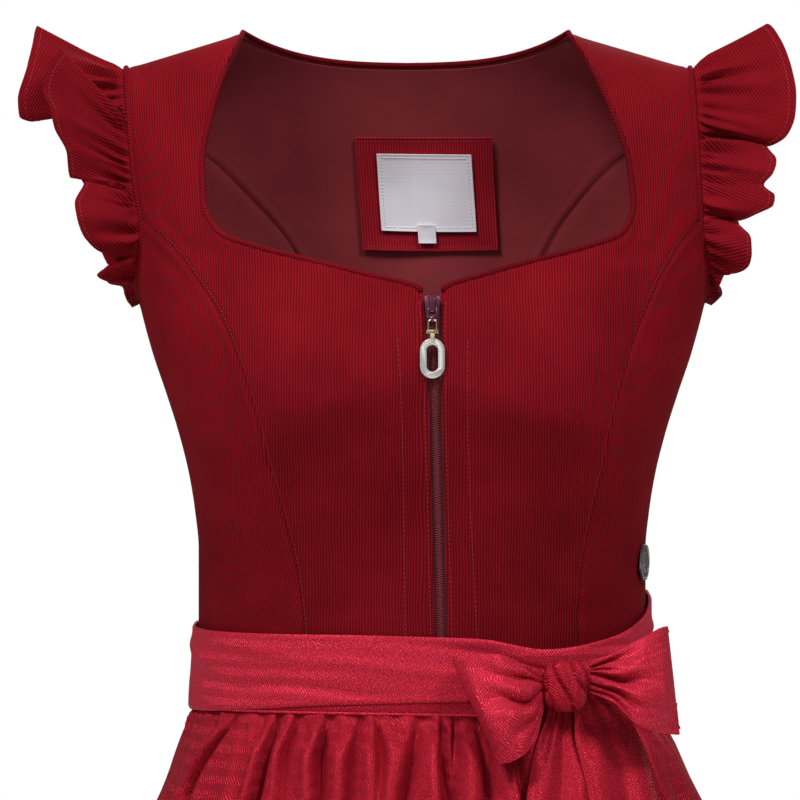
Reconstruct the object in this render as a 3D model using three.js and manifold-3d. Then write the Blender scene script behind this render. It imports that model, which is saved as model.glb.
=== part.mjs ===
// A knee-covering folk dress with its apron, worn on an invisible figure.
// Millimetres. +X is the wearer's left, the front faces -Y, +Z is up.
// The origin lies midway between the neck-side ends of the shoulder seams.
import * as THREE from 'three'
import { mergeVertices } from 'three/addons/utils/BufferGeometryUtils.js'
import Module from 'manifold-3d'

// Driving sizes
const WAIST_Z = -372 // seam between bodice and skirt
const SKIRT_LENGTH = 600
const APRON_LENGTH = 561.5
const SHOULDER_Y = 12 // the shoulder seam lies this far behind the neck point's plane
const SHOULDER_SLOPE = 0.3 // fall of the shoulder seam for each mm outward
const NECK_HALF = 89 // neck point from the centre
const TIP_HALF = 156 // shoulder tip from the centre
const SIDE_SEAM = 95 // degrees from centre front
const UNDERARM_Z = -152
const TOP_LEAN = -9 // the shoulders sit this far to the wearer's right
const LEAN_FROM_Z = -130

const CLOTH = 1.6 // wall of the corduroy
const LINING = 1.0
const LINING_GAP = 0.7
const SEAM_GAP = 0.3
const PIPING = 1.6 // radius
const ZIP_HALF = 4.3 // each front edge from the zip's centre line
const SATIN = 1.2

// Body form: half width at each height
const WIDTHS = [
  { z: -972, side: 125 },
  { z: -372, side: 125 },
  { z: -330, side: 122.7 },
  { z: -285, side: 122.7 },
  { z: -265, side: 124.6 },
  { z: -245, side: 127.8 },
  { z: -222, side: 133.5 },
  { z: -200, side: 140.5 },
  { z: -178, side: 148 },
  { z: -150, side: 155.5 },
  { z: -130, side: 159.5 },
  { z: -100, side: 163 },
  { z: -60, side: 165 },
  { z: 10, side: 166 },
]

// Depth before and behind the shoulder seam, by the drop below the shoulder line
const DEPTHS = [
  { drop: 0, front: 0, back: 0 },
  { drop: 4, front: 16, back: 17 },
  { drop: 10, front: 29, back: 30 },
  { drop: 20, front: 42, back: 43 },
  { drop: 40, front: 58, back: 58 },
  { drop: 70, front: 74, back: 73 },
  { drop: 110, front: 92, back: 88 },
  { drop: 150, front: 108, back: 97 },
  { drop: 190, front: 120, back: 102 },
  { drop: 215, front: 122, back: 103 },
  { drop: 250, front: 112, back: 100 },
  { drop: 300, front: 99, back: 94 },
  { drop: 350, front: 93.5, back: 91 },
  { drop: 400, front: 93, back: 91 },
  { drop: 1000, front: 93, back: 91 },
]

const BUST = { x: 70, z: -188, wide: 38, high: 45, out: 6 } // mild fullness of the cut

// Inner edge of a front: the neck edge, then the zip edge (x from the zip line where zip is 1)
const FRONT_INNER = [
  { row: 0, x: 90, z: -0.3, zip: 0 },
  { row: 1, x: 101, z: -26, zip: 0 },
  { row: 2, x: 109, z: -50, zip: 0 },
  { row: 3, x: 115, z: -76, zip: 0 },
  { row: 4, x: 115.5, z: -97, zip: 0 },
  { row: 5, x: 108, z: -114, zip: 0 },
  { row: 6, x: 86, z: -123, zip: 0 },
  { row: 7, x: 60, z: -130, zip: 0 },
  { row: 8, x: 34, z: -137, zip: 0.3 },
  { row: 9, x: ZIP_HALF + 1, z: -147, zip: 1 },
  { row: 10, x: ZIP_HALF, z: -164, zip: 1 },
  { row: 11, x: ZIP_HALF, z: -188, zip: 1 },
  { row: 12, x: ZIP_HALF, z: -216, zip: 1 },
  { row: 13, x: ZIP_HALF, z: -250, zip: 1 },
  { row: 14, x: ZIP_HALF, z: -290, zip: 1 },
  { row: 15, x: ZIP_HALF, z: -331, zip: 1 },
  { row: 16, x: ZIP_HALF, z: -372, zip: 1 },
]

// Outer edge of a front: the armhole to row 3, then the princess seam
const FRONT_OUTER = [
  { row: 0, x: TIP_HALF, z: -20.1, zip: 0 },
  { row: 1, x: 155, z: -47, zip: 0 },
  { row: 2, x: 154, z: -76, zip: 0 },
  { row: 3, x: 152, z: -103, zip: 0.2 },
  { row: 4, x: 137, z: -120, zip: 0.4 },
  { row: 5, x: 125, z: -137, zip: 0.6 },
  { row: 6, x: 114, z: -156, zip: 1 },
  { row: 7, x: 105, z: -177, zip: 1 },
  { row: 8, x: 98, z: -198, zip: 1 },
  { row: 9, x: 92.5, z: -219, zip: 1 },
  { row: 10, x: 88, z: -240, zip: 1 },
  { row: 11, x: 82.5, z: -261, zip: 1 },
  { row: 12, x: 78, z: -281, zip: 1 },
  { row: 13, x: 74.5, z: -302, zip: 1 },
  { row: 14, x: 73, z: -325, zip: 1 },
  { row: 15, x: 72.5, z: -348, zip: 1 },
  { row: 16, x: 72, z: -372, zip: 1 },
]
const FRONT_ROWS = 16
const PRINCESS_ROW = 3

// Side edge of the centre back: the armhole to row 2, then the princess seam
const BACK_OUTER = [
  { row: 0, x: TIP_HALF, z: -20.1 },
  { row: 1, x: 154, z: -34 },
  { row: 2, x: 152, z: -50 },
  { row: 3, x: 121, z: -64 },
  { row: 4, x: 97, z: -86 },
  { row: 5, x: 76, z: -112 },
  { row: 6, x: 62, z: -142 },
  { row: 7, x: 54, z: -175 },
  { row: 8, x: 49.5, z: -210 },
  { row: 9, x: 47, z: -250 },
  { row: 10, x: 46, z: -290 },
  { row: 11, x: 45.5, z: -331 },
  { row: 12, x: 45, z: -372 },
]
const BACK_ROWS = 12
const BACK_PRINCESS_ROW = 2
const BACK_NECK_DROP = 14
const LINING_ROWS = 7 // the lining shows down to about the bust line

// Armhole from the shoulder tip (step 0) to the underarm (step 8), front and back
const ARM_STEPS = 8

// Zip line: x at the neck and at the waist
const ZIP_LINE = { topZ: -147, topX: 4.7, lowZ: -372, lowX: 11 }

// Skirt form
const SKIRT = [
  { z: -972, side: 286, front: 242, back: 268, fold: 13 },
  { z: -880, side: 270, front: 228, back: 252, fold: 12.5 },
  { z: -760, side: 246, front: 206, back: 228, fold: 12 },
  { z: -640, side: 217, front: 178, back: 198, fold: 10.5 },
  { z: -540, side: 186, front: 148, back: 164, fold: 9 },
  { z: -470, side: 160, front: 124, back: 134, fold: 7 },
  { z: -424, side: 141, front: 108, back: 112, fold: 4.6 },
  { z: -394, side: 129.5, front: 97.5, back: 98, fold: 2.6 },
  { z: -380, side: 124.2, front: 92.5, back: 91.5, fold: 1 },
  { z: -372, side: 122.4, front: 91, back: 89.6, fold: 0.6 },
]

// Apron: distance in front of the skirt's form, fine gathers and broad folds
const APRON = [
  { z: -940, out: 20, fine: 0, broad: 10.5 },
  { z: -800, out: 19.5, fine: 0, broad: 10 },
  { z: -660, out: 18, fine: 0.2, broad: 8.6 },
  { z: -560, out: 16, fine: 0.8, broad: 7 },
  { z: -490, out: 13.5, fine: 1.6, broad: 5 },
  { z: -440, out: 11.4, fine: 2.4, broad: 3.2 },
  { z: -410, out: 9.6, fine: 2.8, broad: 1.8 },
  { z: -392, out: 7.6, fine: 2.4, broad: 0.8 },
  { z: -378, out: 4.8, fine: 1, broad: 0.2 },
]
const APRON_TOP_Z = -372.8
const APRON_EDGE = 97 // degrees round from centre front
const APRON_GATHERS = 36

const BAND = { top: -334, low: -372.4, out: 0.5 }
const TIE_OUT = 2.2
const BADGE = { x: 119, z: -292, radius: 9.8, thick: 1.4 }

const COLOURS = {
  corduroy: { color: 0x7a101b, roughness: 0.85, metalness: 0 },
  lining: { color: 0x542127, roughness: 0.7, metalness: 0 },
  satin: { color: 0xb92a3d, roughness: 0.5, metalness: 0 },
  tape: { color: 0x5d1318, roughness: 0.8, metalness: 0 },
  slider: { color: 0x6a2440, roughness: 0.35, metalness: 0.6 },
  metal: { color: 0xd8cfc0, roughness: 0.25, metalness: 0.9 },
  label: { color: 0xdedce5, roughness: 0.7, metalness: 0 },
}

const DEG = Math.PI / 180
const dress = new THREE.Group()

function add(name, geometry, colour) {
  const mesh = new THREE.Mesh(geometry, new THREE.MeshStandardMaterial(COLOURS[colour]))
  mesh.name = name
  dress.add(mesh)
  return mesh
}

// Smooth reading of a table: monotone cubic between rows sorted by the key column
function read(table, key, value) {
  const rows = [...table].sort((a, b) => a[key] - b[key])
  const v = Math.min(Math.max(value, rows[0][key]), rows[rows.length - 1][key])
  let i = 0
  while (i < rows.length - 2 && v > rows[i + 1][key]) i += 1
  const span = rows[i + 1][key] - rows[i][key]
  const t = (v - rows[i][key]) / span
  const out = {}
  for (const field of Object.keys(rows[0])) {
    const slope = (k) => (rows[k + 1][field] - rows[k][field]) / (rows[k + 1][key] - rows[k][key])
    const tangent = (k) => {
      if (k === 0) return slope(0)
      if (k === rows.length - 1) return slope(k - 1)
      const a = slope(k - 1)
      const b = slope(k)
      return a * b <= 0 ? 0 : (2 * a * b) / (a + b)
    }
    const p0 = rows[i][field]
    const p1 = rows[i + 1][field]
    const m0 = tangent(i) * span
    const m1 = tangent(i + 1) * span
    const t2 = t * t
    const t3 = t2 * t
    out[field] = (2 * t3 - 3 * t2 + 1) * p0 + (t3 - 2 * t2 + t) * m0
      + (3 * t2 - 2 * t3) * p1 + (t3 - t2) * m1
  }
  return out
}

const mix = (a, b, t) => a + (b - a) * t
const clamp01 = (t) => Math.min(1, Math.max(0, t))
const ease = (t) => {
  const c = clamp01(t)
  return c * c * (3 - 2 * c)
}

// The form that the bodice is cut to. phi is in degrees from centre front towards the wearer's left.
const leanAt = (z) => TOP_LEAN * clamp01((z - LEAN_FROM_Z) / -LEAN_FROM_Z)
const roundness = (z) => 2.6 - 0.3 * clamp01((-150 - z) / 222)
const shoulderLine = (x) => SHOULDER_SLOPE * (NECK_HALF - Math.abs(x))

function powered(value, power) {
  return Math.sign(value) * Math.abs(value) ** power
}

function bodyPoint(phi, z) {
  const power = 2 / roundness(z)
  const x = read(WIDTHS, 'z', z).side * powered(Math.sin(phi * DEG), power)
  const facing = Math.cos(phi * DEG)
  const depth = read(DEPTHS, 'drop', Math.max(0, shoulderLine(x) - z))
  const reach = facing >= 0 ? depth.front : depth.back
  const middle = SHOULDER_Y * clamp01(1 + z / -WAIST_Z)
  let y = middle - reach * powered(facing, power)
  if (facing > 0) {
    const dx = (Math.abs(x) - BUST.x) / BUST.wide
    const dz = (z - BUST.z) / BUST.high
    y -= BUST.out * Math.exp(-dx * dx - dz * dz) * facing
  }
  return new THREE.Vector3(x + leanAt(z), y, z)
}

function bodyNormal(phi, z) {
  const x = bodyPoint(phi, z).x - leanAt(z)
  const drop = shoulderLine(x) - z
  const zMid = drop < 3 ? z - 3 + drop : z
  const across = bodyPoint(phi + 0.6, zMid).sub(bodyPoint(phi - 0.6, zMid))
  const up = bodyPoint(phi, zMid + 1.5).sub(bodyPoint(phi, zMid - 1.5))
  const normal = across.cross(up).normalize()
  normal.y *= clamp01(drop / 8)
  return normal.normalize()
}

// Angle of a point seen from the front or the back, x from the leaning centre
function phiOf(x, z, face = 'front') {
  const u = Math.min(1, Math.abs(x) / read(WIDTHS, 'z', z).side)
  const angle = Math.asin(u ** (roundness(z) / 2)) / DEG
  return face === 'front' ? Math.sign(x) * angle : 180 - Math.sign(x) * angle
}

function zipX(z) {
  const t = (z - ZIP_LINE.topZ) / (ZIP_LINE.lowZ - ZIP_LINE.topZ)
  return mix(ZIP_LINE.topX, ZIP_LINE.lowX, clamp01(t))
}

// A point of a panel's plan: angle and height
const plan = (phi, z) => ({ phi, z })

function frontEdge(table, row, side) {
  const r = read(table, 'row', row)
  return plan(phiOf(side * r.x + r.zip * zipX(r.z), r.z), r.z)
}

function backEdge(row, side) {
  const r = read(BACK_OUTER, 'row', row)
  return plan(phiOf(side * r.x, r.z, 'back'), r.z)
}

// The armhole edge from the shoulder tip to the underarm, in the same samples for every neighbour
function armPoint(step, face, side) {
  const joins = face === 'front' ? FRONT_OUTER : BACK_OUTER
  const seamRow = face === 'front' ? PRINCESS_ROW : BACK_PRINCESS_ROW
  if (step <= seamRow) {
    return face === 'front' ? frontEdge(joins, step, side) : backEdge(step, side)
  }
  const start = armPoint(seamRow, face, side)
  const end = plan(face === 'front' || side > 0 ? side * SIDE_SEAM : 360 - SIDE_SEAM, UNDERARM_Z)
  const t = (step - seamRow) / (ARM_STEPS - seamRow)
  return plan(mix(start.phi, end.phi, t ** 1.6), mix(start.z, end.z, t ** 0.72))
}

// A patch between four borders, each a list of plan points
function patch(left, right, top, bottom) {
  const rows = left.length - 1
  const cols = top.length - 1
  const grid = []
  for (let i = 0; i <= rows; i += 1) {
    const t = i / rows
    const line = []
    for (let j = 0; j <= cols; j += 1) {
      const u = j / cols
      const point = {}
      for (const k of ['phi', 'z']) {
        const ruled = mix(left[i][k], right[i][k], u) + mix(top[j][k], bottom[j][k], t)
        const corners = mix(mix(left[0][k], right[0][k], u), mix(left[rows][k], right[rows][k], u), t)
        point[k] = ruled - corners
      }
      line.push(point)
    }
    grid.push(line)
  }
  return grid
}

// Lifts a plan onto the body form, moved out by a distance
const lift = (grid, out) => grid.map((line) => line.map(
  ({ phi, z }) => bodyPoint(phi, z).addScaledVector(bodyNormal(phi, z), out),
))

// Draws the border rows and columns in, so that neighbours keep their gap.
// A distance is measured square to the border, and may differ along it.
function inset(grid, edges) {
  const rows = grid.length - 1
  const cols = grid[0].length - 1
  const moved = grid.map((line) => line.map((p) => p.clone()))
  const shift = (i, j, di, dj, by) => {
    if (!by) return
    const step = grid[i + di][j + dj].clone().sub(grid[i][j]).normalize()
    const a = grid[di ? i : Math.max(0, i - 1)][di ? Math.max(0, j - 1) : j]
    const b = grid[di ? i : Math.min(rows, i + 1)][di ? Math.min(cols, j + 1) : j]
    const border = b.clone().sub(a).normalize()
    const square = Math.max(0.4, step.clone().cross(border).length())
    moved[i][j].addScaledVector(step, by / square)
  }
  const distance = (edge, k) => (typeof edge === 'function' ? edge(k) : edge || 0)
  for (let j = 0; j <= cols; j += 1) {
    shift(0, j, 1, 0, distance(edges.top, j))
    shift(rows, j, -1, 0, distance(edges.bottom, j))
  }
  for (let i = 0; i <= rows; i += 1) {
    shift(i, 0, 0, 1, distance(edges.left, i))
    shift(i, cols, 0, -1, distance(edges.right, i))
  }
  return moved
}

// A closed wall between an outer and an inner grid of points
function wall(outer, inner) {
  const rows = outer.length - 1
  const cols = outer[0].length - 1
  const points = []
  for (const grid of [outer, inner]) {
    for (const line of grid) {
      for (const p of line) points.push(p.x, p.y, p.z)
    }
  }
  const half = (rows + 1) * (cols + 1)
  const o = (i, j) => i * (cols + 1) + j
  const n = (i, j) => half + o(i, j)
  const faces = []
  const quad = (a, b, c, d) => faces.push(a, b, c, a, c, d)
  for (let i = 0; i < rows; i += 1) {
    for (let j = 0; j < cols; j += 1) {
      quad(o(i, j), o(i + 1, j), o(i + 1, j + 1), o(i, j + 1))
      quad(n(i, j), n(i, j + 1), n(i + 1, j + 1), n(i + 1, j))
    }
  }
  for (let j = 0; j < cols; j += 1) {
    quad(o(0, j), o(0, j + 1), n(0, j + 1), n(0, j))
    quad(o(rows, j + 1), o(rows, j), n(rows, j), n(rows, j + 1))
  }
  for (let i = 0; i < rows; i += 1) {
    quad(o(i + 1, 0), o(i, 0), n(i, 0), n(i + 1, 0))
    quad(o(i, cols), o(i + 1, cols), n(i + 1, cols), n(i, cols))
  }
  return outward(points, faces)
}

// Turns a closed mesh's faces outward by the sign of its volume
function outward(points, faces) {
  let volume = 0
  const at = (k) => new THREE.Vector3(points[3 * k], points[3 * k + 1], points[3 * k + 2])
  for (let f = 0; f < faces.length; f += 3) {
    volume += at(faces[f]).dot(at(faces[f + 1]).cross(at(faces[f + 2])))
  }
  if (volume < 0) {
    for (let f = 0; f < faces.length; f += 3) {
      [faces[f], faces[f + 1]] = [faces[f + 1], faces[f]]
    }
  }
  const geometry = new THREE.BufferGeometry()
  geometry.setAttribute('position', new THREE.Float32BufferAttribute(points, 3))
  geometry.setIndex(faces)
  geometry.computeVertexNormals()
  return geometry
}

// A wall on the body form, from a plan
function bodyWall(grid, out, thick, edges) {
  return wall(inset(lift(grid, out), edges), inset(lift(grid, out - thick), edges))
}

// A round cord through a list of points, closed into a ring or with flat ends
function cord(path, radius, sides, ring, start = new THREE.Vector3(0, -1, 0)) {
  const count = path.length
  const points = []
  const faces = []
  let lift0 = start
  path.forEach((p, i) => {
    const before = path[ring ? (i + count - 1) % count : Math.max(0, i - 1)]
    const after = path[ring ? (i + 1) % count : Math.min(count - 1, i + 1)]
    const along = after.clone().sub(before).normalize()
    const side = along.clone().cross(lift0).normalize()
    const rise = side.clone().cross(along).normalize()
    lift0 = rise.clone()
    for (let k = 0; k < sides; k += 1) {
      const a = (2 * Math.PI * k) / sides
      const q = p.clone().addScaledVector(side, radius * Math.cos(a))
        .addScaledVector(rise, radius * Math.sin(a))
      points.push(q.x, q.y, q.z)
    }
  })
  const id = (i, k) => (i % count) * sides + (k % sides)
  for (let i = 0; i < (ring ? count : count - 1); i += 1) {
    for (let k = 0; k < sides; k += 1) {
      faces.push(id(i, k), id(i, k + 1), id(i + 1, k + 1), id(i, k), id(i + 1, k + 1), id(i + 1, k))
    }
  }
  if (!ring) {
    for (let k = 1; k < sides - 1; k += 1) {
      faces.push(id(0, 0), id(0, k + 1), id(0, k))
      faces.push(id(count - 1, 0), id(count - 1, k), id(count - 1, k + 1))
    }
  }
  return outward(points, faces)
}

const range = (from, to) => Array.from({ length: to - from + 1 }, (_, i) => from + i)
const between = (a, b, steps) => range(0, steps).map((i) => plan(
  mix(a.phi, b.phi, i / steps),
  mix(a.z, b.z, i / steps),
))
const shoulderSeam = (side, face, steps) => range(0, steps).map((i) => {
  const x = mix(TIP_HALF, NECK_HALF + 1, i / steps)
  return plan(phiOf(side * x, shoulderLine(x), face), shoulderLine(x))
})
const NAMES = { '1': 'left', '-1': 'right' }
const PIPED = PIPING + SEAM_GAP + 0.1
const SEAM = SEAM_GAP / 2 + 0.02

// Normals of a grid of points, from its neighbours
function gridNormals(grid) {
  const rows = grid.length - 1
  const cols = grid[0].length - 1
  return grid.map((line, i) => line.map((p, j) => {
    const down = grid[Math.min(rows, i + 1)][j].clone().sub(grid[Math.max(0, i - 1)][j])
    const across = grid[i][Math.min(cols, j + 1)].clone().sub(grid[i][Math.max(0, j - 1)])
    return across.cross(down).normalize()
  }))
}

// A wall of even thickness about a grid of points
function sheet(grid, thick) {
  const normals = gridNormals(grid)
  const moved = (by) => grid.map((line, i) => line.map(
    (p, j) => p.clone().addScaledVector(normals[i][j], by),
  ))
  return wall(moved(thick / 2), moved(-thick / 2))
}

// Bodice fronts with their straps, and side fronts
const FRONT_COLS = 6
const NECK_ROW = 9 // the zip starts here
function bodiceFronts(side) {
  const outerEdge = range(0, FRONT_ROWS).map((r) => frontEdge(FRONT_OUTER, r, side))
  const innerEdge = range(0, FRONT_ROWS).map((r) => frontEdge(FRONT_INNER, r, side))
  const shoulder = shoulderSeam(side, 'front', FRONT_COLS)
  outerEdge[0] = shoulder[0]
  innerEdge[0] = shoulder[FRONT_COLS]
  const waist = between(outerEdge[FRONT_ROWS], innerEdge[FRONT_ROWS], FRONT_COLS)
  const front = patch(outerEdge, innerEdge, shoulder, waist)
  add(`bodice_front_${NAMES[side]}`, bodyWall(front, 0, CLOTH, {
    top: SEAM,
    left: (i) => (i <= PRINCESS_ROW ? PIPED : SEAM),
    right: (i) => (i <= NECK_ROW ? PIPED + 0.4 : 0),
    bottom: SEAM,
  }), 'corduroy')

  const princess = outerEdge.slice(PRINCESS_ROW)
  const sideRows = princess.length - 1
  const seam = between(plan(side * SIDE_SEAM, UNDERARM_Z), plan(side * SIDE_SEAM, WAIST_Z), sideRows)
  const arm = range(PRINCESS_ROW, ARM_STEPS).map((s) => armPoint(s, 'front', side))
  const low = between(princess[sideRows], seam[sideRows], arm.length - 1)
  add(`bodice_side_front_${NAMES[side]}`, bodyWall(patch(princess, seam, arm, low), 0, CLOTH, {
    top: PIPED,
    left: SEAM,
    right: SEAM,
    bottom: SEAM,
  }), 'corduroy')
  return innerEdge
}

// Centre back and side backs, and the lining that shows inside them
const NECK_COLS = 8
const SEAM_COLS = 3
function bodiceBack() {
  const edges = { 1: [], '-1': [] }
  for (const side of [1, -1]) {
    edges[side] = range(0, BACK_ROWS).map((r) => backEdge(r, side))
  }
  const half = NECK_HALF + 1
  const neck = range(1, NECK_COLS - 1).map((i) => {
    const x = mix(half, -half, i / NECK_COLS)
    const z = shoulderLine(half) - BACK_NECK_DROP * (1 - Math.abs(x / half) ** 3)
    return plan(phiOf(x, z, 'back'), z)
  })
  const left = shoulderSeam(1, 'back', SEAM_COLS)
  const right = shoulderSeam(-1, 'back', SEAM_COLS).reverse()
  const top = [...left, ...neck, ...right]
  edges[1][0] = top[0]
  edges[-1][0] = top[top.length - 1]
  const waist = between(edges[1][BACK_ROWS], edges[-1][BACK_ROWS], top.length - 1)
  const back = patch(edges[1], edges[-1], top, waist)
  const neckPoints = [SEAM_COLS, top.length - 1 - SEAM_COLS]
  const seamTop = (j) => {
    if (neckPoints.includes(j)) return PIPED + 1.2
    return j < neckPoints[0] || j > neckPoints[1] ? SEAM : PIPED + 0.2
  }
  const seamSide = (i) => (i <= BACK_PRINCESS_ROW ? PIPED : SEAM)
  add('bodice_back_centre', bodyWall(back, 0, CLOTH, {
    top: seamTop,
    left: seamSide,
    right: seamSide,
    bottom: SEAM,
  }), 'corduroy')
  add('lining_back_centre', bodyWall(back.slice(0, LINING_ROWS + 1), -CLOTH - LINING_GAP, LINING, {
    top: (j) => seamTop(j) + 0.6,
    left: (i) => seamSide(i) + 0.3,
    right: (i) => seamSide(i) + 0.3,
  }), 'lining')

  for (const side of [1, -1]) {
    const princess = edges[side].slice(BACK_PRINCESS_ROW)
    const rows = princess.length - 1
    const seamPhi = side > 0 ? SIDE_SEAM : 360 - SIDE_SEAM
    const seam = range(0, rows).map((i) => plan(seamPhi, mix(UNDERARM_Z, WAIST_Z, i / rows)))
    const arm = range(BACK_PRINCESS_ROW, ARM_STEPS).map((s) => armPoint(s, 'back', side))
    const low = between(princess[rows], seam[rows], arm.length - 1)
    const sideBack = patch(princess, seam, arm, low)
    add(`bodice_side_back_${NAMES[side]}`, bodyWall(sideBack, 0, CLOTH, {
      top: PIPED,
      left: SEAM,
      right: SEAM,
      bottom: SEAM,
    }), 'corduroy')
    add(`lining_side_back_${NAMES[side]}`, bodyWall(
      sideBack.slice(0, LINING_ROWS - BACK_PRINCESS_ROW + 1),
      -CLOTH - LINING_GAP,
      LINING,
      { top: PIPED + 1, left: SEAM + 0.3, right: SEAM },
    ), 'lining')
  }
  return top.slice(SEAM_COLS, top.length - SEAM_COLS)
}

const rightInner = bodiceFronts(-1)
const leftInner = bodiceFronts(1)
const backNeck = bodiceBack()

// Piping round the neck, from zip top to zip top, and round each armhole
const middle = (list) => list.map(
  ({ phi, z }) => bodyPoint(phi, z).addScaledVector(bodyNormal(phi, z), -CLOTH / 2),
)
const rightNeck = rightInner.slice(1, NECK_ROW + 1).reverse()
const leftNeck = leftInner.slice(1, NECK_ROW + 1)
const PIPING_SIDES = 6
add('neck_piping', cord(
  middle([...rightNeck, ...[...backNeck].reverse(), ...leftNeck]),
  PIPING,
  PIPING_SIDES,
  false,
), 'corduroy')

for (const side of [1, -1]) {
  const down = range(0, ARM_STEPS).map((s) => armPoint(s, 'front', side))
  const up = range(1, ARM_STEPS - 1).map((s) => armPoint(s, 'back', side)).reverse()
  const ring = middle([...down, ...up])
  add(`armhole_piping_${NAMES[side]}`, cord(ring, PIPING, PIPING_SIDES, true), 'corduroy')
}

// Ruffles. along runs from the shoulder tip (0) to the underarm (1 in front, -1 behind).
// In front the free edge's points are given: x, z, and how far ahead of the seam they hang.
const RUFFLE_EDGES = {
  right: [
    { along: 0, x: -213.2, z: 2.6, ahead: -4 },
    { along: 0.02, x: -214.3, z: -7.8, ahead: 2 },
    { along: 0.045, x: -216.5, z: -22, ahead: 8 },
    { along: 0.07, x: -220.7, z: -39.2, ahead: 10 },
    { along: 0.088, x: -220, z: -49.3, ahead: 6 },
    { along: 0.104, x: -214, z: -51.6, ahead: 0 },
    { along: 0.12, x: -205.1, z: -45.2, ahead: -6 },
    { along: 0.134, x: -201.2, z: -33.1, ahead: -6 },
    { along: 0.147, x: -199.7, z: -21.4, ahead: 0 },
    { along: 0.16, x: -196.6, z: -12.9, ahead: 10 },
    { along: 0.18, x: -202.6, z: -23.8, ahead: 17 },
    { along: 0.2, x: -204.6, z: -34.4, ahead: 20 },
    { along: 0.225, x: -201.2, z: -46.5, ahead: 21 },
    { along: 0.25, x: -198.6, z: -56.7, ahead: 19 },
    { along: 0.28, x: -191.9, z: -70.6, ahead: 14 },
    { along: 0.305, x: -190.8, z: -83.4, ahead: 8 },
    { along: 0.328, x: -181.6, z: -80.7, ahead: -2 },
    { along: 0.345, x: -183.3, z: -87.2, ahead: 6 },
    { along: 0.37, x: -187, z: -96.9, ahead: 14 },
    { along: 0.4, x: -185.7, z: -106.3, ahead: 17 },
    { along: 0.45, x: -182, z: -116, ahead: 15 },
    { along: 0.51, x: -175.4, z: -123.5, ahead: 9 },
    { along: 0.575, x: -165.8, z: -128.6, ahead: -3 },
    { along: 0.62, x: -171.3, z: -131.6, ahead: 5 },
    { along: 0.68, x: -175.8, z: -136.7, ahead: 11 },
    { along: 0.75, x: -170.5, z: -140.4, ahead: 8 },
    { along: 0.83, x: -164, z: -142.4, ahead: 0 },
    { along: 0.9, x: -162.5, z: -148.5, ahead: 2 },
    { along: 0.97, x: -160.5, z: -152.8, ahead: 0 },
  ],
  left: [
    { along: 0, x: 191.2, z: 3.7, ahead: -4 },
    { along: 0.02, x: 197.2, z: -5.2, ahead: 3 },
    { along: 0.045, x: 202, z: -21.6, ahead: 10 },
    { along: 0.07, x: 203.9, z: -35.6, ahead: 13 },
    { along: 0.1, x: 202.9, z: -49.2, ahead: 12 },
    { along: 0.13, x: 197.5, z: -61.4, ahead: 6 },
    { along: 0.155, x: 188.4, z: -65.2, ahead: -3 },
    { along: 0.178, x: 184.4, z: -59.4, ahead: -8 },
    { along: 0.2, x: 189.4, z: -66.4, ahead: -2 },
    { along: 0.222, x: 192.5, z: -73.4, ahead: 6 },
    { along: 0.245, x: 190, z: -81.3, ahead: 10 },
    { along: 0.268, x: 185.2, z: -87.3, ahead: 8 },
    { along: 0.288, x: 190.1, z: -92.5, ahead: 15 },
    { along: 0.31, x: 188.9, z: -98.6, ahead: 16 },
    { along: 0.34, x: 180.2, z: -103.7, ahead: 9 },
    { along: 0.37, x: 171.2, z: -106.6, ahead: -2 },
    { along: 0.39, x: 168.1, z: -104.8, ahead: -5 },
    { along: 0.415, x: 173.6, z: -110.1, ahead: 3 },
    { along: 0.45, x: 177.2, z: -116.5, ahead: 12 },
    { along: 0.49, x: 177.6, z: -124.7, ahead: 14 },
    { along: 0.54, x: 175.6, z: -132.3, ahead: 12 },
    { along: 0.6, x: 168.5, z: -135.9, ahead: 5 },
    { along: 0.655, x: 160.9, z: -136.2, ahead: -4 },
    { along: 0.7, x: 159, z: -140.2, ahead: 0 },
    { along: 0.76, x: 161.2, z: -143.1, ahead: 6 },
    { along: 0.83, x: 163.5, z: -146.8, ahead: 2 },
    { along: 0.9, x: 162, z: -149.6, ahead: 0 },
    { along: 0.97, x: 160.3, z: -151.8, ahead: 0 },
  ],
}
// Behind, reach is the strip's width, swing its wave away from the armhole, slide along the edge
const RUFFLE_BACKS = {
  right: [
    { along: -0.97, reach: 2, swing: 0, slide: 0 },
    { along: -0.86, reach: 9, swing: 3, slide: 0 },
    { along: -0.76, reach: 14, swing: -4, slide: 0 },
    { along: -0.66, reach: 22, swing: 7, slide: 2 },
    { along: -0.56, reach: 26, swing: -6, slide: 0 },
    { along: -0.46, reach: 33, swing: 9, slide: 3 },
    { along: -0.36, reach: 36, swing: -8, slide: 0 },
    { along: -0.25, reach: 44, swing: 10, slide: 4 },
    { along: -0.14, reach: 50, swing: -8, slide: 0 },
    { along: -0.06, reach: 50, swing: 4, slide: 0 },
  ],
  left: [
    { along: -0.97, reach: 2, swing: 0, slide: 0 },
    { along: -0.87, reach: 8, swing: 3, slide: 0 },
    { along: -0.77, reach: 13, swing: -4, slide: 0 },
    { along: -0.67, reach: 20, swing: 6, slide: 2 },
    { along: -0.57, reach: 24, swing: -6, slide: 0 },
    { along: -0.47, reach: 31, swing: 9, slide: 3 },
    { along: -0.36, reach: 34, swing: -8, slide: 0 },
    { along: -0.26, reach: 41, swing: 9, slide: 4 },
    { along: -0.15, reach: 42, swing: -7, slide: 0 },
    { along: -0.06, reach: 38, swing: 3, slide: 0 },
  ],
}
const RUFFLE = { flare: 22, rows: 3, halfSteps: 2, thick: 1.2, foot: 2.6, centreY: 28, centreZ: -86 }

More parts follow.
